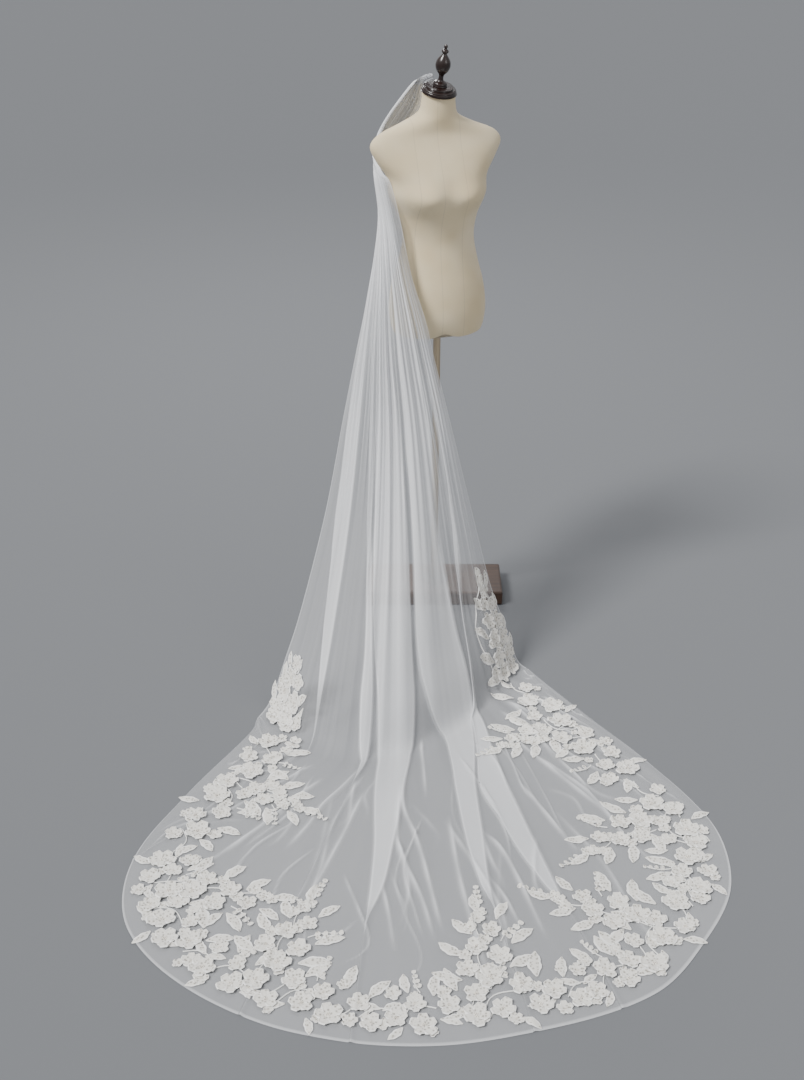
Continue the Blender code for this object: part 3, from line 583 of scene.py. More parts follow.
def layers_at(place, t, speed, edges):
    """How many layers of the real cloth one layer here stands for, as a value at each column."""
    gathered = np.clip(CLOTH_WIDTH / speed / 1.9, 1.0, 5.0) - 1
    gathered = gathered * (1 - 0.96 * ease(0.20, 0.62, t))
    thin_side = 1 - 0.86 * ease(0.35, 0.80, place) * ease(-0.2, 0.05, t) * (1 - ease(0.38, 0.50, t))
    bands = (
        0.45 * np.sin(2 * math.pi * 23 * place + 2.0 * np.sin(7 * place))
        + 0.35 * np.sin(2 * math.pi * 41 * place + 1.3 + 1.5 * t)
        + 0.30 * np.sin(2 * math.pi * 67 * place + 2.1)
    )
    bands = np.sign(bands) * np.abs(bands) ** 0.8 * (0.55 - 0.42 * ease(0.30, 0.60, t))
    bands = bands * ease(-0.4, 0.1, t) * (1 - 0.8 * ease(0.80, 1.20, t))
    layers = (1 + gathered * thin_side) * (1 + bands)
    layers = layers * (1 - 0.12 * ease(0.40, 0.60, t) * (1 - ease(1.0, 1.2, t)))
    for left, right in edges:
        wide = (right - left) * speed
        shown = ease(0.006, 0.020, wide)
        for line in (left, right):
            layers = layers + 1.3 * shown * np.exp(-(((place - line) * speed / 0.0035) ** 2))
        inside = ease(0.0, 0.004, (place - left) * speed)
        inside = inside * ease(0.0, 0.004, (right - place) * speed)
        layers = layers * (1 + 0.85 * ease(0.35, 0.55, t) * shown * inside)
    slit = np.exp(-(((place - SLIT) / 0.008) ** 2))
    slit = slit * ease(0.50, 0.58, t) * (1 - ease(0.74, 0.86, t))
    layers = layers * (1 - 0.60 * slit)
    layers = layers * (1 + 1.5 * (1 - ease(-0.32, -0.12, t)))
    edge = np.exp(-((np.minimum(place, 1 - place) * speed / 0.004) ** 2))
    return layers + 1.5 * edge + 1.8 * float(ease(1.991, 1.996, t))


def veil_row(t):
    """Points, covers and cloth places of one row."""
    place, lift, edges, layer, tail = pleated_columns(t)
    level = np.full_like(place, t)
    points, normals, speed = veil_frame(place, level)
    height = lift.copy()
    start = 0
    for k, (left, right) in enumerate(edges):
        start += FORWARD_COLUMNS[k] + BACK_COLUMNS[k]
        past = (place[start:] - right) * speed[start:]
        height[start:] -= 2 * layer * ease(0.0, tail, past)
    ridges, bunched = crease_height(place, level, speed)
    folds = gather_height(place, level)
    hem_calm = 1 - 0.7 * float(ease(1.90, 2.0, t))
    points = points + normals * (height + folds + ridges * hem_calm)[:, None]
    layers = layers_at(place, t, speed, edges) + 3.2 * bunched
    return points, 1 - (1 - ONE_LAYER) ** np.maximum(layers, 0.5), place


def cloth_piece(name, levels):
    """Sheet of tulle over a span of levels, from a grid primitive."""
    rows = [veil_row(float(t)) for t in levels]
    points = np.array([row[0] for row in rows])
    covers = np.array([row[1] for row in rows])
    down, across = points.shape[:2]
    deselect()
    bpy.ops.mesh.primitive_grid_add(x_subdivisions=across - 1, y_subdivisions=down - 1, size=1.0)
    made = bpy.context.object
    made.name = made.data.name = name
    # The primitive's rows run from its -Y side up, so the cloth's last row comes first.
    made.data.vertices.foreach_set("co", points[::-1].reshape(-1))
    steps_across = np.linalg.norm(np.diff(points, axis=1), axis=2)
    across_m = np.concatenate([np.zeros((down, 1)), np.cumsum(steps_across, axis=1)], axis=1)
    steps_down = np.linalg.norm(np.diff(points, axis=0), axis=2)
    down_m = np.concatenate([np.zeros((1, across)), np.cumsum(steps_down, axis=0)], axis=0)
    uv = np.stack([across_m, down_m], axis=-1)[::-1].reshape(-1, 2)
    mesh = made.data
    corner = np.empty(len(mesh.loops), np.int32)
    mesh.loops.foreach_get("vertex_index", corner)
    while mesh.uv_layers:
        mesh.uv_layers.remove(mesh.uv_layers[0])
    mesh.uv_layers.new(name="cloth").data.foreach_set("uv", uv[corner].reshape(-1))
    cover_data = mesh.attributes.new("cover", "FLOAT", "POINT").data
    cover_data.foreach_set("value", covers[::-1].reshape(-1))
    mesh.materials.clear()
    mesh.materials.append(tulle)
    mesh.update()
    bpy.ops.object.shade_smooth()
    area = sum(p.area for p in mesh.polygons)
    print(name, len(mesh.polygons), "faces", round(area, 3), "m2")
    return made


veil_fall = cloth_piece("veil_tulle_fall", FALL_ROWS)
veil_train = cloth_piece("veil_tulle_train", TRAIN_ROWS)

# %% [markdown]
# A motif of the lace starts as a small grid: the petal's length runs one way and its breadth the
# other. Its outline is rounded, its middle domed, and the last rows are raised as the cord that
# edges it. Five petals turn round a button of beads. A leaf is the same grid with a point and a
# vein. Motifs are kept as points and faces, and copies of them are laid on the veil wherever the
# border needs them.

# %% Petal, leaf and bead
# Grid squares along and across.
PETAL_STEPS = (9, 10)
LEAF_STEPS = (9, 6)


def grid_template(along, across, shape):
    """Points and faces of a grid primitive, bent by shape(along 0 to 1, across -1 to 1)."""
    deselect()
    bpy.ops.mesh.primitive_grid_add(x_subdivisions=along, y_subdivisions=across, size=2.0)
    piece = bpy.context.object
    flat = np.array([tuple(v.co) for v in piece.data.vertices])
    faces = [tuple(p.vertices) for p in piece.data.polygons]
    bpy.data.objects.remove(piece)
    return shape((flat[:, 0] + 1) / 2, flat[:, 1]), faces


def petal_shape(along, across):
    """Unit petal: its root at the origin, its notched and scalloped tip at x = 1."""
    breadth = 0.40 * np.sqrt(np.clip(1 - ((along - 0.62) / 0.64) ** 2, 0, 1))
    scallop = 0.035 * np.cos(3 * np.pi * across) - 0.09 * np.exp(-((across / 0.22) ** 2))
    x = (0.08 + 0.92 * along) * (1 - 0.24 * across**2 * along + scallop * along**3)
    y = across * breadth * (1 + 0.04 * np.cos(6 * np.pi * along))
    cup = 0.050 * np.sin(np.pi * along) * (1 - across**2) + 0.075 * along**2 - 0.03 * (1 - along)
    tip_rim = np.exp(-(((along - 0.90) / 0.06) ** 2)) * (np.abs(across) < 0.9)
    side_rim = np.exp(-(((np.abs(across) - 0.80) / 0.12) ** 2)) * ease(0.1, 0.4, along)
    rim = 0.075 * np.maximum(tip_rim, side_rim)
    veins = 0.020 * np.cos(across * 9.5) * along * (1 - along)
    return np.stack([x, y, 0.05 + cup + rim + veins], axis=1)


def leaf_shape(along, across):
    """Unit leaf: its root at the origin, its tip at x = 1, with a raised vein."""
    breadth = 0.21 * np.sin(np.pi * np.clip(along, 0.02, 0.98)) ** 0.8
    breadth = breadth * (1 + 0.10 * np.cos(along * 40))
    y = across * breadth + 0.05 * np.sin(np.pi * along)
    vein = 0.022 * np.exp(-(across / 0.22) ** 2)
    rim = 0.020 * ease(0.5, 0.75, np.abs(across)) * (1 - ease(0.85, 1.0, np.abs(across)))
    return np.stack([along, y, 0.012 + vein + rim + 0.02 * np.sin(np.pi * along)], axis=1)


def edged(template, along, across, tip):
    """Template with a material slot for each face: 1, the cord, on its edge, and 0 inside."""
    points, faces = template
    row = np.arange(len(faces)) // along
    column = np.arange(len(faces)) % along
    on_cord = (row == 0) | (row == across - 1) | (column >= along - tip)
    return points, faces, on_cord.astype(int).tolist()


petal = grid_template(*PETAL_STEPS, petal_shape)
petal_points, petal_faces, petal_slots = edged(petal, *PETAL_STEPS, 1)
pointed = grid_template(*LEAF_STEPS, leaf_shape)
leaf_points, leaf_faces, leaf_slots = edged(pointed, *LEAF_STEPS, 0)
deselect()
bpy.ops.mesh.primitive_ico_sphere_add(subdivisions=1, radius=1.0)
bead_points = np.array([tuple(v.co) for v in bpy.context.object.data.vertices])
bead_faces = [tuple(p.vertices) for p in bpy.context.object.data.polygons]
bpy.data.objects.remove(bpy.context.object)
print("petal", len(petal_faces), "leaf", len(leaf_faces), "bead", len(bead_faces), "faces")


# %% [markdown]
# Flowers, leaves, stems and sprigs of buds are put together flat, in metres along the hem and in
# from it. Each part is a list of points, faces and material slots.

# %% Motifs in a border's own plane
def turned_points(points, angle):
    c, s = math.cos(angle), math.sin(angle)
    return np.stack([points[:, 0] * c - points[:, 1] * s, points[:, 0] * s + points[:, 1] * c,
                     points[:, 2]], axis=1)


def flower(x, y, radius, turn=0.0, petals=5):
    """Parts of a flower at x along and y in from the hem: (points, faces, material slots)."""
    parts = []
    for k in range(petals):
        size = radius * (1 + 0.07 * math.sin(2.1 * k + 5 * turn))
        angle = turn + 2 * math.pi * k / petals
        points = turned_points(petal_points * size, angle) + (x, y, 0.0004 * (k % 2))
        parts.append((points, petal_faces, petal_slots))
    for k in range(6):
        angle = turn + math.pi * k / 3
        reach = radius * 0.13 if k else 0.0
        at = (x + reach * math.cos(angle), y + reach * math.sin(angle), radius * 0.07)
        parts.append((bead_points * radius * 0.055 + at, bead_faces, [2] * len(bead_faces)))
    return parts


def leaf(x, y, length, heading):
    points = turned_points(leaf_points * (length, length, length * 0.6), heading)
    return [(points + (x, y, 0.0), leaf_faces, leaf_slots)]


def stem(start, end, bow=0.12, width=0.0028):
    """Cord from start to end in a soft bow, four-sided."""
    start, end = np.array(start, float), np.array(end, float)
    side = np.array((start[1] - end[1], end[0] - start[0])) * bow
    steps = np.linspace(0, 1, 10)
    middle = np.array([start + (end - start) * s + side * math.sin(math.pi * s) for s in steps])
    along = np.gradient(middle, axis=0)
    along /= np.linalg.norm(along, axis=1)[:, None]
    normal = np.stack([-along[:, 1], along[:, 0]], axis=1)
    ring = [(-0.5, 0.0), (-0.3, 0.0018), (0.3, 0.0018), (0.5, 0.0)]
    points = np.array([[*(m + n * a * width), h] for m, n in zip(middle, normal) for a, h in ring])
    first = [4 * j + i for j in range(9) for i in range(3)]
    faces = [(v, v + 1, v + 5, v + 4) for v in first]
    return [(points, faces, [1] * len(faces))]


def bud_sprig(x, y, length, heading, buds=4):
    """Short stem with small round petals in pairs and one at its tip."""
    tip = (x + length * math.cos(heading), y + length * math.sin(heading))
    parts = stem((x, y), tip, 0.10)
    for k in range(buds):
        s = (k + 1) / buds
        at = (x + length * s * math.cos(heading), y + length * s * math.sin(heading))
        for side in (-1, 1):
            angle = heading + side * (0.9 - 0.6 * s)
            size = length * 0.22 * (1.15 - 0.3 * s)
            points = turned_points(petal_points * size, angle) + (*at, 0.0006)
            parts.append((points, petal_faces, petal_slots))
    return parts


print("a flower has", sum(len(faces) for _, faces, _ in flower(0, 0, 0.04)), "faces")

# %% [markdown]
# One repeat of the border is about half a metre long: a dense band of flowers along the hem, with
# leaves and sprigs between them, and a spray that climbs in from its middle. Seven repeats make
# the round. Each is turned, sized and swayed a little differently, as the real ones are cut from
# one long lace and eased round the curve.

# %% One repeat of the border
# Along, in from the hem, radius, turn.
BAND_FLOWERS = (
    (0.035, 0.050, 0.041, 0.2), (0.092, 0.098, 0.036, 0.9), (0.120, 0.040, 0.039, 1.5),
    (0.178, 0.088, 0.044, 0.4), (0.236, 0.046, 0.042, 2.1), (0.262, 0.118, 0.037, 1.2),
    (0.316, 0.062, 0.045, 0.7), (0.372, 0.112, 0.036, 0.1), (0.398, 0.044, 0.041, 1.9),
    (0.456, 0.086, 0.043, 0.6), (0.505, 0.040, 0.034, 1.1), (0.022, 0.122, 0.031, 2.4),
)
# Along, in, length, heading in degrees.
BAND_LEAVES = (
    (0.060, 0.030, 0.052, 238), (0.070, 0.130, 0.066, 115), (0.145, 0.120, 0.070, 75),
    (0.155, 0.052, 0.050, 325), (0.208, 0.130, 0.068, 100), (0.208, 0.060, 0.048, 205),
    (0.280, 0.050, 0.052, 215), (0.300, 0.140, 0.072, 60), (0.348, 0.024, 0.055, 292),
    (0.350, 0.145, 0.062, 120), (0.425, 0.130, 0.074, 85), (0.440, 0.052, 0.050, 200),
    (0.490, 0.110, 0.066, 60), (0.000, 0.080, 0.056, 150), (0.530, 0.075, 0.050, 20),
)
SMALL_FLOWERS = 13
# The spray, as (side, up from its foot, radius or length).
SPRAY_FLOWERS = (
    (0.012, 0.050, 0.042, 0.3), (-0.038, 0.085, 0.034, 1.0), (0.040, 0.108, 0.037, 1.7),
    (-0.012, 0.145, 0.035, 0.5), (0.026, 0.190, 0.030, 2.2), (-0.006, 0.232, 0.024, 0.8),
)
SPRAY_LEAVES = (
    (-0.050, 0.055, 0.075, 160), (0.060, 0.070, 0.080, 25), (-0.045, 0.125, 0.072, 140),
    (0.070, 0.140, 0.075, 40), (-0.020, 0.185, 0.070, 130), (0.040, 0.220, 0.065, 60),
    (-0.004, 0.250, 0.066, 95),
)
SPRAY_FOOT = 0.125


def sway(x, y, lean, scale):
    """Place in the spray after it leans over and is sized."""
    return x * scale + lean * y, SPRAY_FOOT + y * scale


def band_parts(variant):
    """Motifs of one repeat's band, in metres along the hem and in from it."""
    parts = []
    for k, (x, y, radius, turn) in enumerate(BAND_FLOWERS):
        size = 0.82 * radius * (1 + 0.12 * math.sin(2.3 * k + variant))
        shift = 0.008 * math.sin(1.7 * k + 2 * variant)
        parts += flower(x + shift, y + 0.7 * shift, size, turn + variant)
    for k in range(SMALL_FLOWERS):
        x = 0.012 + k * 0.52 / SMALL_FLOWERS
        y = 0.078 + 0.062 * math.sin(2.4 * k + variant)
        parts += flower(x, y, 0.018 + 0.004 * math.sin(1.9 * k), 0.7 * k)
    for k, (x, y, length, heading) in enumerate(BAND_LEAVES):
        turn = math.radians(heading + 14 * math.sin(1.3 * k + variant))
        parts += leaf(x, y, length * (1 + 0.1 * math.sin(k + variant)), turn)
    for k in range(5):
        x = 0.055 + 0.105 * k
        parts += stem((x, 0.05), (x + 0.085, 0.085 + 0.02 * math.sin(k)), 0.25 * (-1) ** k)
    parts += bud_sprig(0.335, 0.135, 0.070, math.radians(80 + 10 * math.sin(variant)))
    parts += bud_sprig(0.105, 0.130, 0.060, math.radians(95 - 12 * math.sin(variant)))
    return parts


def spray_parts(foot, lean, scale, variant):
    """Motifs of the spray that climbs in from its foot."""
    parts = []
    for x, y, radius, turn in SPRAY_FLOWERS:
        a, b = sway(x, y, lean, scale)
        parts += flower(foot + a, b, 0.86 * radius * scale**0.5, turn + variant)
    for k, (x, y, _, turn) in enumerate(SPRAY_FLOWERS):
        a, b = sway(-1.1 * x + 0.004 * (-1) ** k, y + 0.018, lean, scale)
        parts += flower(foot + a, b, 0.019, turn + k)
    for x, y, length, heading in SPRAY_LEAVES:
        a, b = sway(x, y, lean, scale)
        parts += leaf(foot + a, b, length, math.radians(heading) - 0.8 * lean)
    spine = [sway(0, y, lean, scale) for y in (-0.05, 0.07, 0.16, 0.26)]
    for first, second in zip(spine, spine[1:]):
        parts += stem((foot + first[0], first[1]), (foot + second[0], second[1]), 0.12)
    tip = sway(0.0, 0.262, lean, scale)
    parts += bud_sprig(foot + tip[0], tip[1], 0.070, math.pi / 2 - 0.8 * lean)
    side = sway(0.045, 0.15, lean, scale)
    parts += bud_sprig(foot + side[0], side[1], 0.075, math.radians(38))
    return parts


repeat = band_parts(0.0) + spray_parts(0.26, 0.0, 1.0, 0.0)
print("a repeat has", sum(len(faces) for _, faces, _ in repeat), "faces")

# %% [markdown]
# Each motif of the border is turned as the hem turns where it lies, and its points are dropped on
# the cloth from above, 0.8 mm clear of it, so it follows every crease. Up the two side edges the
# cloth is steep, so there the motifs are laid by their distance from the edge and up from the
# floor.

# %% Lay the lace on the veil
LACE_OFF = 0.0008
hem_u = np.linspace(0.0, 1.0, 2001)
hem_xy = hem_at(hem_u)
hem_s = np.concatenate([[0.0], np.cumsum(np.linalg.norm(np.diff(hem_xy, axis=0), axis=1))])
hem_tangent = np.gradient(hem_xy, axis=0)
hem_tangent /= np.linalg.norm(hem_tangent, axis=1)[:, None]
HEM_LENGTH = float(hem_s[-1])


def top_of(*pieces):
    """Search tree over the faces of pieces."""
    points, faces = [], []
    for piece in pieces:
        first = len(points)
        points += [tuple(v.co) for v in piece.data.vertices]
        faces += [tuple(first + v for v in p.vertices) for p in piece.data.polygons]
    return BVHTree.FromPolygons(points, faces)


cloth_top = top_of(veil_train, veil_fall)


def on_train(points, foot=None):
    """Points of one motif (along the hem, in from it, height) on the cloth as it lies. The motif
    keeps its shape: it is turned as the hem turns at its middle, or at its spray's foot."""
    middle = float(points[:, 0].mean()) if foot is None else foot
    k = round(float(np.interp(middle, hem_s, np.arange(len(hem_s)))))
    tangent = hem_tangent[k]
    inward = np.array((-tangent[1], tangent[0]))
    xy = hem_xy[k] + tangent * (points[:, 0:1] - hem_s[k]) + inward * points[:, 1:2]
    placed = []
    for (x, y), height in zip(xy, points[:, 2]):
        hit = cloth_top.ray_cast(Vector((x, y, 0.6)), Vector((0, 0, -1)))
        floor = hit[0].z if hit[0] is not None else 0.0
        placed.append((x, y, floor + LACE_OFF + height))
    return np.array(placed)


def on_edge(right):
    """Function that lays points (in from a side edge, up from the floor, height) on the fall."""
    levels = np.linspace(0.3, 1.0, 300)
    edge = smooth_veil(1.0 if right else 0.0, levels)
    up = np.concatenate([[0.0], np.cumsum(np.linalg.norm(np.diff(edge, axis=0), axis=1)[::-1])])

    def lay(points, foot=None):
        t = np.interp(points[:, 1], up, levels[::-1])
        speed = veil_frame(np.full_like(t, 0.95 if right else 0.05), t)[2]
        u = points[:, 0] / speed
        u = 1 - u if right else u
        at, normal, speed = veil_frame(u, t)
        raised = gather_height(u, t) + points[:, 2] + LACE_OFF * 2
        return at + normal * raised[:, None]

    return lay


def lace_piece(name, parts, lay, nodes, mirrored=False):
    """One mesh from a list of motifs, laid on the cloth."""
    points = np.concatenate([lay(p, foot) for p, _, _, foot in parts])
    first = np.cumsum([0] + [len(p) for p, _, _, _ in parts])
    faces, slots = [], []
    for start, (_, part_faces, part_slots, _) in zip(first, parts):
        for face in part_faces:
            face = tuple(int(start + v) for v in face)
            faces.append(face[::-1] if mirrored else face)
        slots += part_slots
    mesh = bpy.data.meshes.new(name)
    mesh.from_pydata([tuple(p) for p in points], [], faces)
    for look in (lace, cord, bead):
        mesh.materials.append(look)
    mesh.polygons.foreach_set("material_index", slots)
    made = new_object(name, mesh)
    pick(made)
    bpy.ops.object.shade_smooth()
    declare(made, "lace", *nodes)
    return made


# Where each repeat starts along the hem, where its spray stands in it, how far the spray leans
# and how tall it is.
REPEATS = (
    (0.05, 0.22, 0.10, 0.74),
    (0.62, 0.16, 0.25, 1.00),
    (1.14, 0.18, -0.10, 1.02),
    (1.66, 0.28, 0.20, 1.05),
    (2.18, 0.36, -0.25, 1.00),
    (2.70, 0.40, -0.20, 0.98),
    (3.28, 0.30, 0.05, 0.72),
)
for k, (start, spray_at, lean, scale) in enumerate(REPEATS):
    foot = start + spray_at
    parts = [(points + (start, 0.022, 0.0), faces, slots, None)
             for points, faces, slots in band_parts(1.3 * k)]
    parts += [(*part, foot) for part in spray_parts(foot, lean, scale, 1.3 * k)]
    lace_piece(f"lace_border_{k + 1}", parts, on_train, [f"lace_{k + 1:02d}"])
print("hem", round(HEM_LENGTH, 3), "m")

# %% [markdown]
# Up each side edge the lace narrows to a tip. It is about 0.25 m long on the left edge and 0.38 m
# on the right one, which stands steeper.

# %% Edge lace
# In from the edge, up from the floor, radius, turn.
LEFT_FLOWERS = (
    (0.050, 0.034, 0.034, 0.1), (0.110, 0.034, 0.034, 0.9), (0.150, 0.060, 0.028, 2.4),
    (0.045, 0.062, 0.040, 0.5), (0.098, 0.058, 0.038, 1.1), (0.050, 0.118, 0.036, 0.6),
    (0.108, 0.112, 0.034, 1.6), (0.060, 0.168, 0.034, 2.2), (0.100, 0.172, 0.026, 0.2),
    (0.068, 0.214, 0.028, 1.3), (0.078, 0.088, 0.022, 1.8), (0.030, 0.140, 0.022, 0.9),
)
LEFT_LEAVES = (
    (0.100, 0.030, 0.070, 20), (0.020, 0.070, 0.060, 120), (0.110, 0.100, 0.070, 50),
    (0.035, 0.140, 0.060, 110), (0.075, 0.175, 0.062, 80), (0.040, 0.185, 0.050, 115),
)
RIGHT_FLOWERS = (
    (0.050, 0.036, 0.036, 0.2), (0.105, 0.040, 0.036, 1.3), (0.046, 0.075, 0.038, 0.8),
    (0.104, 0.092, 0.036, 2.0), (0.044, 0.135, 0.036, 0.3), (0.098, 0.152, 0.034, 1.0),
    (0.042, 0.192, 0.034, 1.9), (0.090, 0.212, 0.031, 0.5), (0.046, 0.246, 0.031, 1.4),
    (0.084, 0.266, 0.026, 2.3), (0.056, 0.298, 0.027, 0.7), (0.074, 0.120, 0.020, 1.7),
    (0.070, 0.178, 0.020, 0.4), (0.066, 0.335, 0.022, 1.2), (0.148, 0.060, 0.026, 0.9),
)
RIGHT_LEAVES = (
    (0.120, 0.030, 0.080, 15), (0.020, 0.070, 0.060, 115), (0.130, 0.090, 0.085, 40),
    (0.018, 0.140, 0.058, 105), (0.120, 0.165, 0.070, 55), (0.018, 0.215, 0.056, 100),
    (0.095, 0.250, 0.064, 62), (0.030, 0.295, 0.056, 105), (0.062, 0.320, 0.060, 88),
)


def edge_parts(flowers, leaves):
    parts = []
    for x, y, radius, turn in flowers:
        parts += flower(x, y, radius, turn)
    for x, y, length, heading in leaves:
        parts += leaf(x, y, length, math.radians(heading))
    for (x0, y0, _, _), (x1, y1, _, _) in zip(flowers, flowers[1:]):
        parts += stem((x0, y0), (x1, y1), 0.18)
    return [(*part, None) for part in parts]


left_parts = edge_parts(LEFT_FLOWERS, LEFT_LEAVES)
left_lace = lace_piece("lace_edge_left", left_parts, on_edge(False), ["lace_left_edge"])
right_parts = edge_parts(RIGHT_FLOWERS, RIGHT_LEAVES)
right_lace = lace_piece("lace_edge_right", right_parts, on_edge(True), ["lace_right_edge"], True)
print("edge lace", len(left_lace.data.polygons), len(right_lace.data.polygons))

# %% [markdown]
# The two sheets are one panel of tulle, cut here where it meets the floor.

declare(veil_fall, "tulle", "veil_fall", "veil_heading")
declare(veil_train, "tulle", "veil_train")
print("sheets declared")

# %% [markdown]
# The form is cut off at the hip and the neck. A circle is extruded upwards ring by ring, and each
# ring then takes its width, front and back from a table of body measurements, with two soft
# mounds for the bust. The form faces a little to the right.

# %% Dress form
FORM_RINGS = 84
FORM_COLUMNS = 96
FORM_FOOT = 0.955
# Height, sideways shift, half width, front, back, share of the neck's tilt.
FORM_SECTIONS = (
    (0.9550, 0.000, 0.141, -0.110, 0.122, 0.0), (0.9750, 0.000, 0.147, -0.115, 0.128, 0.0),
    (1.0260, 0.000, 0.152, -0.119, 0.134, 0.0), (1.1000, 0.000, 0.143, -0.111, 0.126, 0.0),
    (1.1700, 0.000, 0.124, -0.097, 0.103, 0.0), (1.2450, 0.000, 0.110, -0.087, 0.083, 0.0),
    (1.3100, -0.003, 0.120, -0.098, 0.083, 0.0), (1.3800, -0.006, 0.148, -0.126, 0.088, 0.0),
    (1.4300, -0.007, 0.153, -0.110, 0.094, 0.0), (1.4850, -0.010, 0.186, -0.078, 0.090, 0.0),
    (1.5250, -0.010, 0.200, -0.054, 0.082, 0.0), (1.5550, -0.009, 0.174, -0.042, 0.074, 0.0),
    (1.5800, -0.007, 0.112, -0.042, 0.064, 0.2), (1.6050, -0.005, 0.062, -0.045, 0.054, 0.5),
    (1.6400, -0.004, 0.050, -0.046, 0.048, 1.0), (1.6660, -0.004, 0.049, -0.046, 0.047, 1.0),
)
NECK_TOP = 1.6660
NECK_TILT = math.radians(14.0)
NECK_LEAN = math.radians(4.0)
# From the middle, height, half width, half height, depth.
BUST = (0.070, 1.384, 0.048, 0.042, 0.015)

section_at = curve_through(FORM_SECTIONS)
deselect()
bpy.ops.mesh.primitive_circle_add(vertices=FORM_COLUMNS, radius=0.15, location=(0, 0, FORM_FOOT))
form = bpy.context.object
form.name = form.data.name = "form_jersey_body"
bpy.ops.object.transform_apply(location=True, rotation=True, scale=True)
bpy.ops.object.mode_set(mode="EDIT")
bpy.ops.mesh.select_all(action="SELECT")
ring_heights = np.linspace(FORM_FOOT, NECK_TOP, FORM_RINGS)
for low, high in zip(ring_heights, ring_heights[1:]):
    move = {"value": (0.0, 0.0, float(high - low))}
    bpy.ops.mesh.extrude_region_move(TRANSFORM_OT_translate=move)
bpy.ops.object.mode_set(mode="OBJECT")
for vertex in form.data.vertices:
    x, y, z = vertex.co
    angle = math.atan2(y, x)
    shift, half, front, back, tilt = section_at(z)
    px = shift + half * math.cos(angle)
    py = (back if math.sin(angle) > 0 else -front) * math.sin(angle)
    if py < 0:
        for side in (-1, 1):
            far = ((px - side * BUST[0]) / BUST[2]) ** 2 + ((z - BUST[1]) / BUST[3]) ** 2
            py -= BUST[4] * math.exp(-far) * min(-py / 0.08, 1.0)
        py += 0.010 * math.exp(-((px / 0.035) ** 2) - ((z - BUST[1]) / 0.05) ** 2)
    hip = 0.014 * math.exp(-(((px + 0.012) / 0.030) ** 2)) * max(0.0, 1 - (z - FORM_FOOT) / 0.045)
    z += hip if py < 0 else 0.0
    lean = py * math.tan(NECK_TILT) - (px - shift) * math.tan(NECK_LEAN)
    vertex.co = (px, py, z + tilt * lean)
bpy.ops.object.mode_set(mode="EDIT")
for height in ("low", "high"):
    bpy.ops.mesh.select_all(action="DESELECT")
    shape = bmesh.from_edit_mesh(form.data)
    for edge in shape.edges:
        if edge.is_boundary:
            middle = (edge.verts[0].co.z + edge.verts[1].co.z) / 2
            edge.select_set((middle < 1.2) == (height == "low"))
    bmesh.update_edit_mesh(form.data)
    bpy.ops.mesh.edge_face_add()
bpy.ops.mesh.select_all(action="SELECT")
bpy.ops.mesh.normals_make_consistent(inside=False)
bpy.ops.object.mode_set(mode="OBJECT")
form.data.transform(Matrix.Rotation(FORM_TURN, 4, "Z"))
form.data.materials.append(jersey)
pick(form)
bpy.ops.object.shade_smooth_by_angle(angle=math.radians(50))
declare(form, "form_cloth", "form_torso")
print("form", len(form.data.polygons), "faces")


# %% [markdown]
# The cap and the finial are turned on a lathe, so each is a profile that is screwed once round its
# axis. A smooth curve through a few radii gives the profile its soft swells.

# %% Turned wood
MERGE = 0.00005


def turned_piece(name, profile, place, look, slot, node, smooth_rows=1, steps=72):
    """Solid of revolution from (height, radius) rows, top to bottom."""
    rows = np.array(profile, float)
    if smooth_rows > 1:
        read = curve_through([(k, *row) for k, row in enumerate(rows)])
        rows = read(np.linspace(0, len(rows) - 1, (len(rows) - 1) * smooth_rows + 1))
        rows[:, 1] = np.maximum(rows[:, 1], 0.0)
    mesh = bpy.data.meshes.new(name)
    mesh.from_pydata([(r, 0.0, h) for h, r in rows], [(k, k + 1) for k in range(len(rows) - 1)], [])
    made = new_object(name, mesh)
    pick(made)
    screw = made.modifiers.new("lathe", "SCREW")
    screw.steps = screw.render_steps = steps
    screw.use_merge_vertices = True
    screw.merge_threshold = MERGE
    bpy.ops.object.modifier_apply(modifier="lathe")
    made.data.transform(place)
    bpy.ops.object.mode_set(mode="EDIT")
    bpy.ops.mesh.select_all(action="SELECT")
    bpy.ops.mesh.remove_doubles(threshold=MERGE)
    bpy.ops.mesh.normals_make_consistent(inside=False)
    bpy.ops.object.mode_set(mode="OBJECT")
    made.data.materials.append(look)
    bpy.ops.object.shade_smooth_by_angle(angle=math.radians(40))
    declare(made, slot, node)
    return made


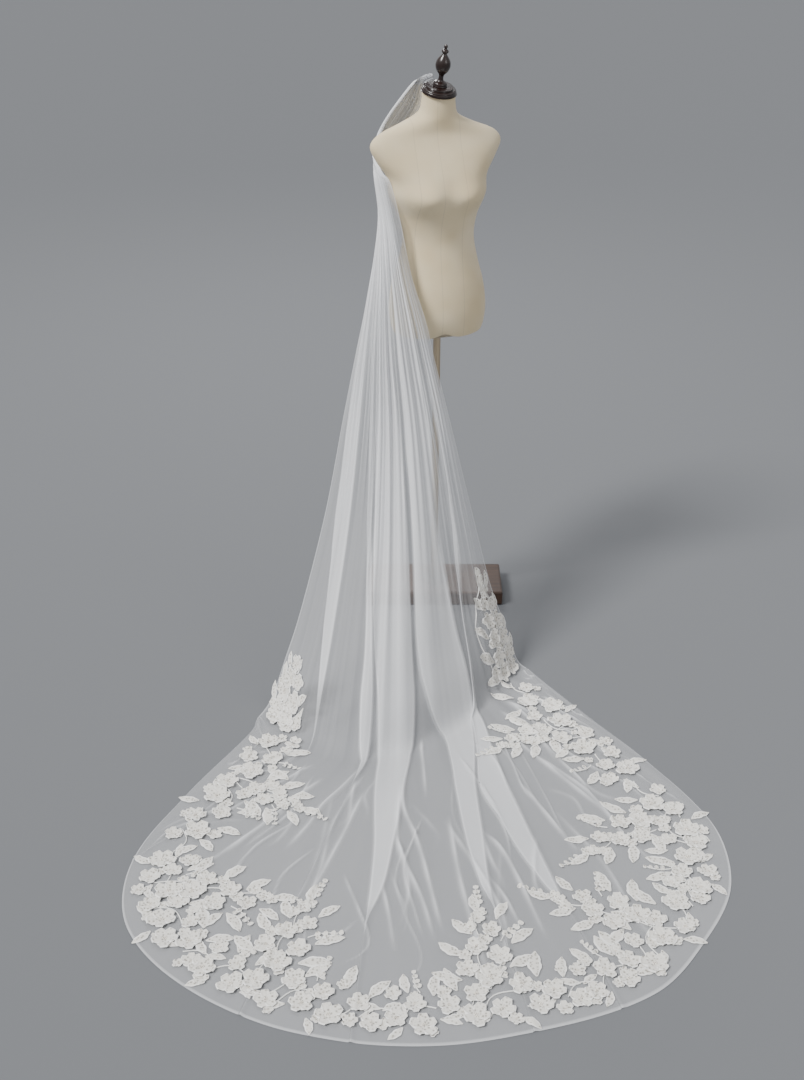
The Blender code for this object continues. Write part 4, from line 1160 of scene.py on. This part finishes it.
neck = (
    Matrix.Rotation(FORM_TURN, 4, "Z") @ Matrix.Translation((-0.004, 0.0, NECK_TOP))
    @ Matrix.Rotation(NECK_TILT, 4, "X") @ Matrix.Rotation(NECK_LEAN, 4, "Y")
)
CAP = (
    (0.0200, 0.0), (0.0200, 0.0360), (0.0192, 0.0392), (0.0172, 0.0404), (0.0150, 0.0400),
    (0.0142, 0.0412), (0.0144, 0.0450), (0.0132, 0.0480), (0.0112, 0.0492), (0.0098, 0.0486),
    (0.0092, 0.0496), (0.0080, 0.0508), (0.0050, 0.0512), (0.0024, 0.0506), (0.0010, 0.0490),
    (0.0, 0.0),
)
FINIAL = (
    (0.1200, 0.0), (0.1190, 0.0028), (0.1160, 0.0050), (0.1130, 0.0056), (0.1095, 0.0040),
    (0.1070, 0.0040), (0.1045, 0.0078), (0.1005, 0.0102), (0.0965, 0.0086), (0.0940, 0.0060),
    (0.0920, 0.0064), (0.0860, 0.0108), (0.0760, 0.0180), (0.0660, 0.0212), (0.0560, 0.0214),
    (0.0440, 0.0172), (0.0350, 0.0098), (0.0300, 0.0074), (0.0240, 0.0070), (0.0180, 0.0078),
    (0.0145, 0.0100), (0.0115, 0.0160), (0.0095, 0.0190), (0.0060, 0.0202), (0.0030, 0.0204),
    (0.0006, 0.0196), (0.0, 0.0),
)
CAP_FOOT = 0.0003  # above the neck's top
FINIAL_FOOT = 0.0206
place = neck @ Matrix.Translation((0, 0, CAP_FOOT))
cap = turned_piece("cap_turned", CAP, place, dark_wood, "dark_wood", "neck_cap", 3)
place = neck @ Matrix.Translation((0, 0, FINIAL_FOOT))
finial = turned_piece("finial_turned", FINIAL, place, dark_wood, "dark_wood", "finial", 3)
print("cap", len(cap.data.polygons), "finial", len(finial.data.polygons))

# %% [markdown]
# The pole is a steel tube with a collar under the form and a round flange on the base. They are
# turned too, with a small bevel where a real edge would be broken. The base keeps its CAD solid.

# %% Pole, collar, flange and base
def rod(name, low, high, radius, edge, node, look):
    profile = ((high, 0.0), (high, radius - edge), (high - 0.3 * edge, radius - 0.3 * edge),
               (high - edge, radius), (low + edge, radius), (low + 0.3 * edge, radius - 0.3 * edge),
               (low, radius - edge), (low, 0.0))
    return turned_piece(name, profile, Matrix.Identity(4), look, "metal", node, 1, 48)


# Name, radius, bevel, CAD node, material.
for name, radius, bevel, node, look in (
    ("pole_tube", 0.0115, 0.0008, "pole", steel),
    ("collar_turned", 0.0150, 0.0015, "pole_collar", steel),
    ("flange_turned", 0.0450, 0.0015, "base_flange", flange_painted_shade),
):
    low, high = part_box(node)[0][2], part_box(node)[1][2]
    rod(name, low, high, radius, bevel, node, look)
    print(node, "from", round(low, 3), "to", round(high, 3))
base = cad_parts["stand_base"]
base.data.materials.clear()
base.data.materials.append(base_wood)
print("base", len(base.data.polygons), "faces")

# %% [markdown]
# A plain pale floor, a shade darker than the tulle so that the sheer cloth stands out. A broad
# soft sun from the upper left lights all of it evenly, a large weak light comes from the right,
# and one behind catches the folds' edges.

# %% Studio
floor_paint = new_material("studio_floor_paint", "6F7174", 1.0)[0]
deselect()
bpy.ops.mesh.primitive_plane_add(size=400.0, location=(0.0, 0.0, -0.0015))
floor = bpy.context.object
floor.name = floor.data.name = "studio_floor"
bpy.ops.object.transform_apply(location=True, rotation=True, scale=True)
floor.data.materials.append(floor_paint)


def soft_light(name, place, aim, size, watts):
    data = bpy.data.lights.new(name, "AREA")
    data.shape = "DISK"
    data.size = size
    data.energy = watts
    light = new_object(name, data)
    light.location = place
    light.rotation_euler = (Vector(aim) - Vector(place)).to_track_quat("-Z", "Y").to_euler()
    return light


sun_data = bpy.data.lights.new("key", "SUN")
sun_data.energy = 4.0
sun_data.angle = math.radians(18.0)
sun = new_object("key", sun_data)
sun.rotation_euler = Vector((3.0, 1.9, -4.2)).to_track_quat("-Z", "Y").to_euler()
soft_light("fill", (3.4, -3.4, 3.2), (0.0, -0.8, 0.5), 2.6, 35.0)
edge_light = soft_light("back", (-0.6, 3.2, 3.6), (-0.1, -1.0, 0.2), 1.6, 70.0)
edge_light.data.specular_factor = 0.15
world = bpy.context.scene.world or bpy.data.worlds.new("world")
bpy.context.scene.world = world
world.use_nodes = True
backdrop = world.node_tree.nodes.get("Background")
backdrop = backdrop or world.node_tree.nodes.new("ShaderNodeBackground")
backdrop.inputs["Color"].default_value = linear("E8E9EC")
backdrop.inputs["Strength"].default_value = 0.62

# %% Finish
bpy.context.view_layer.update()
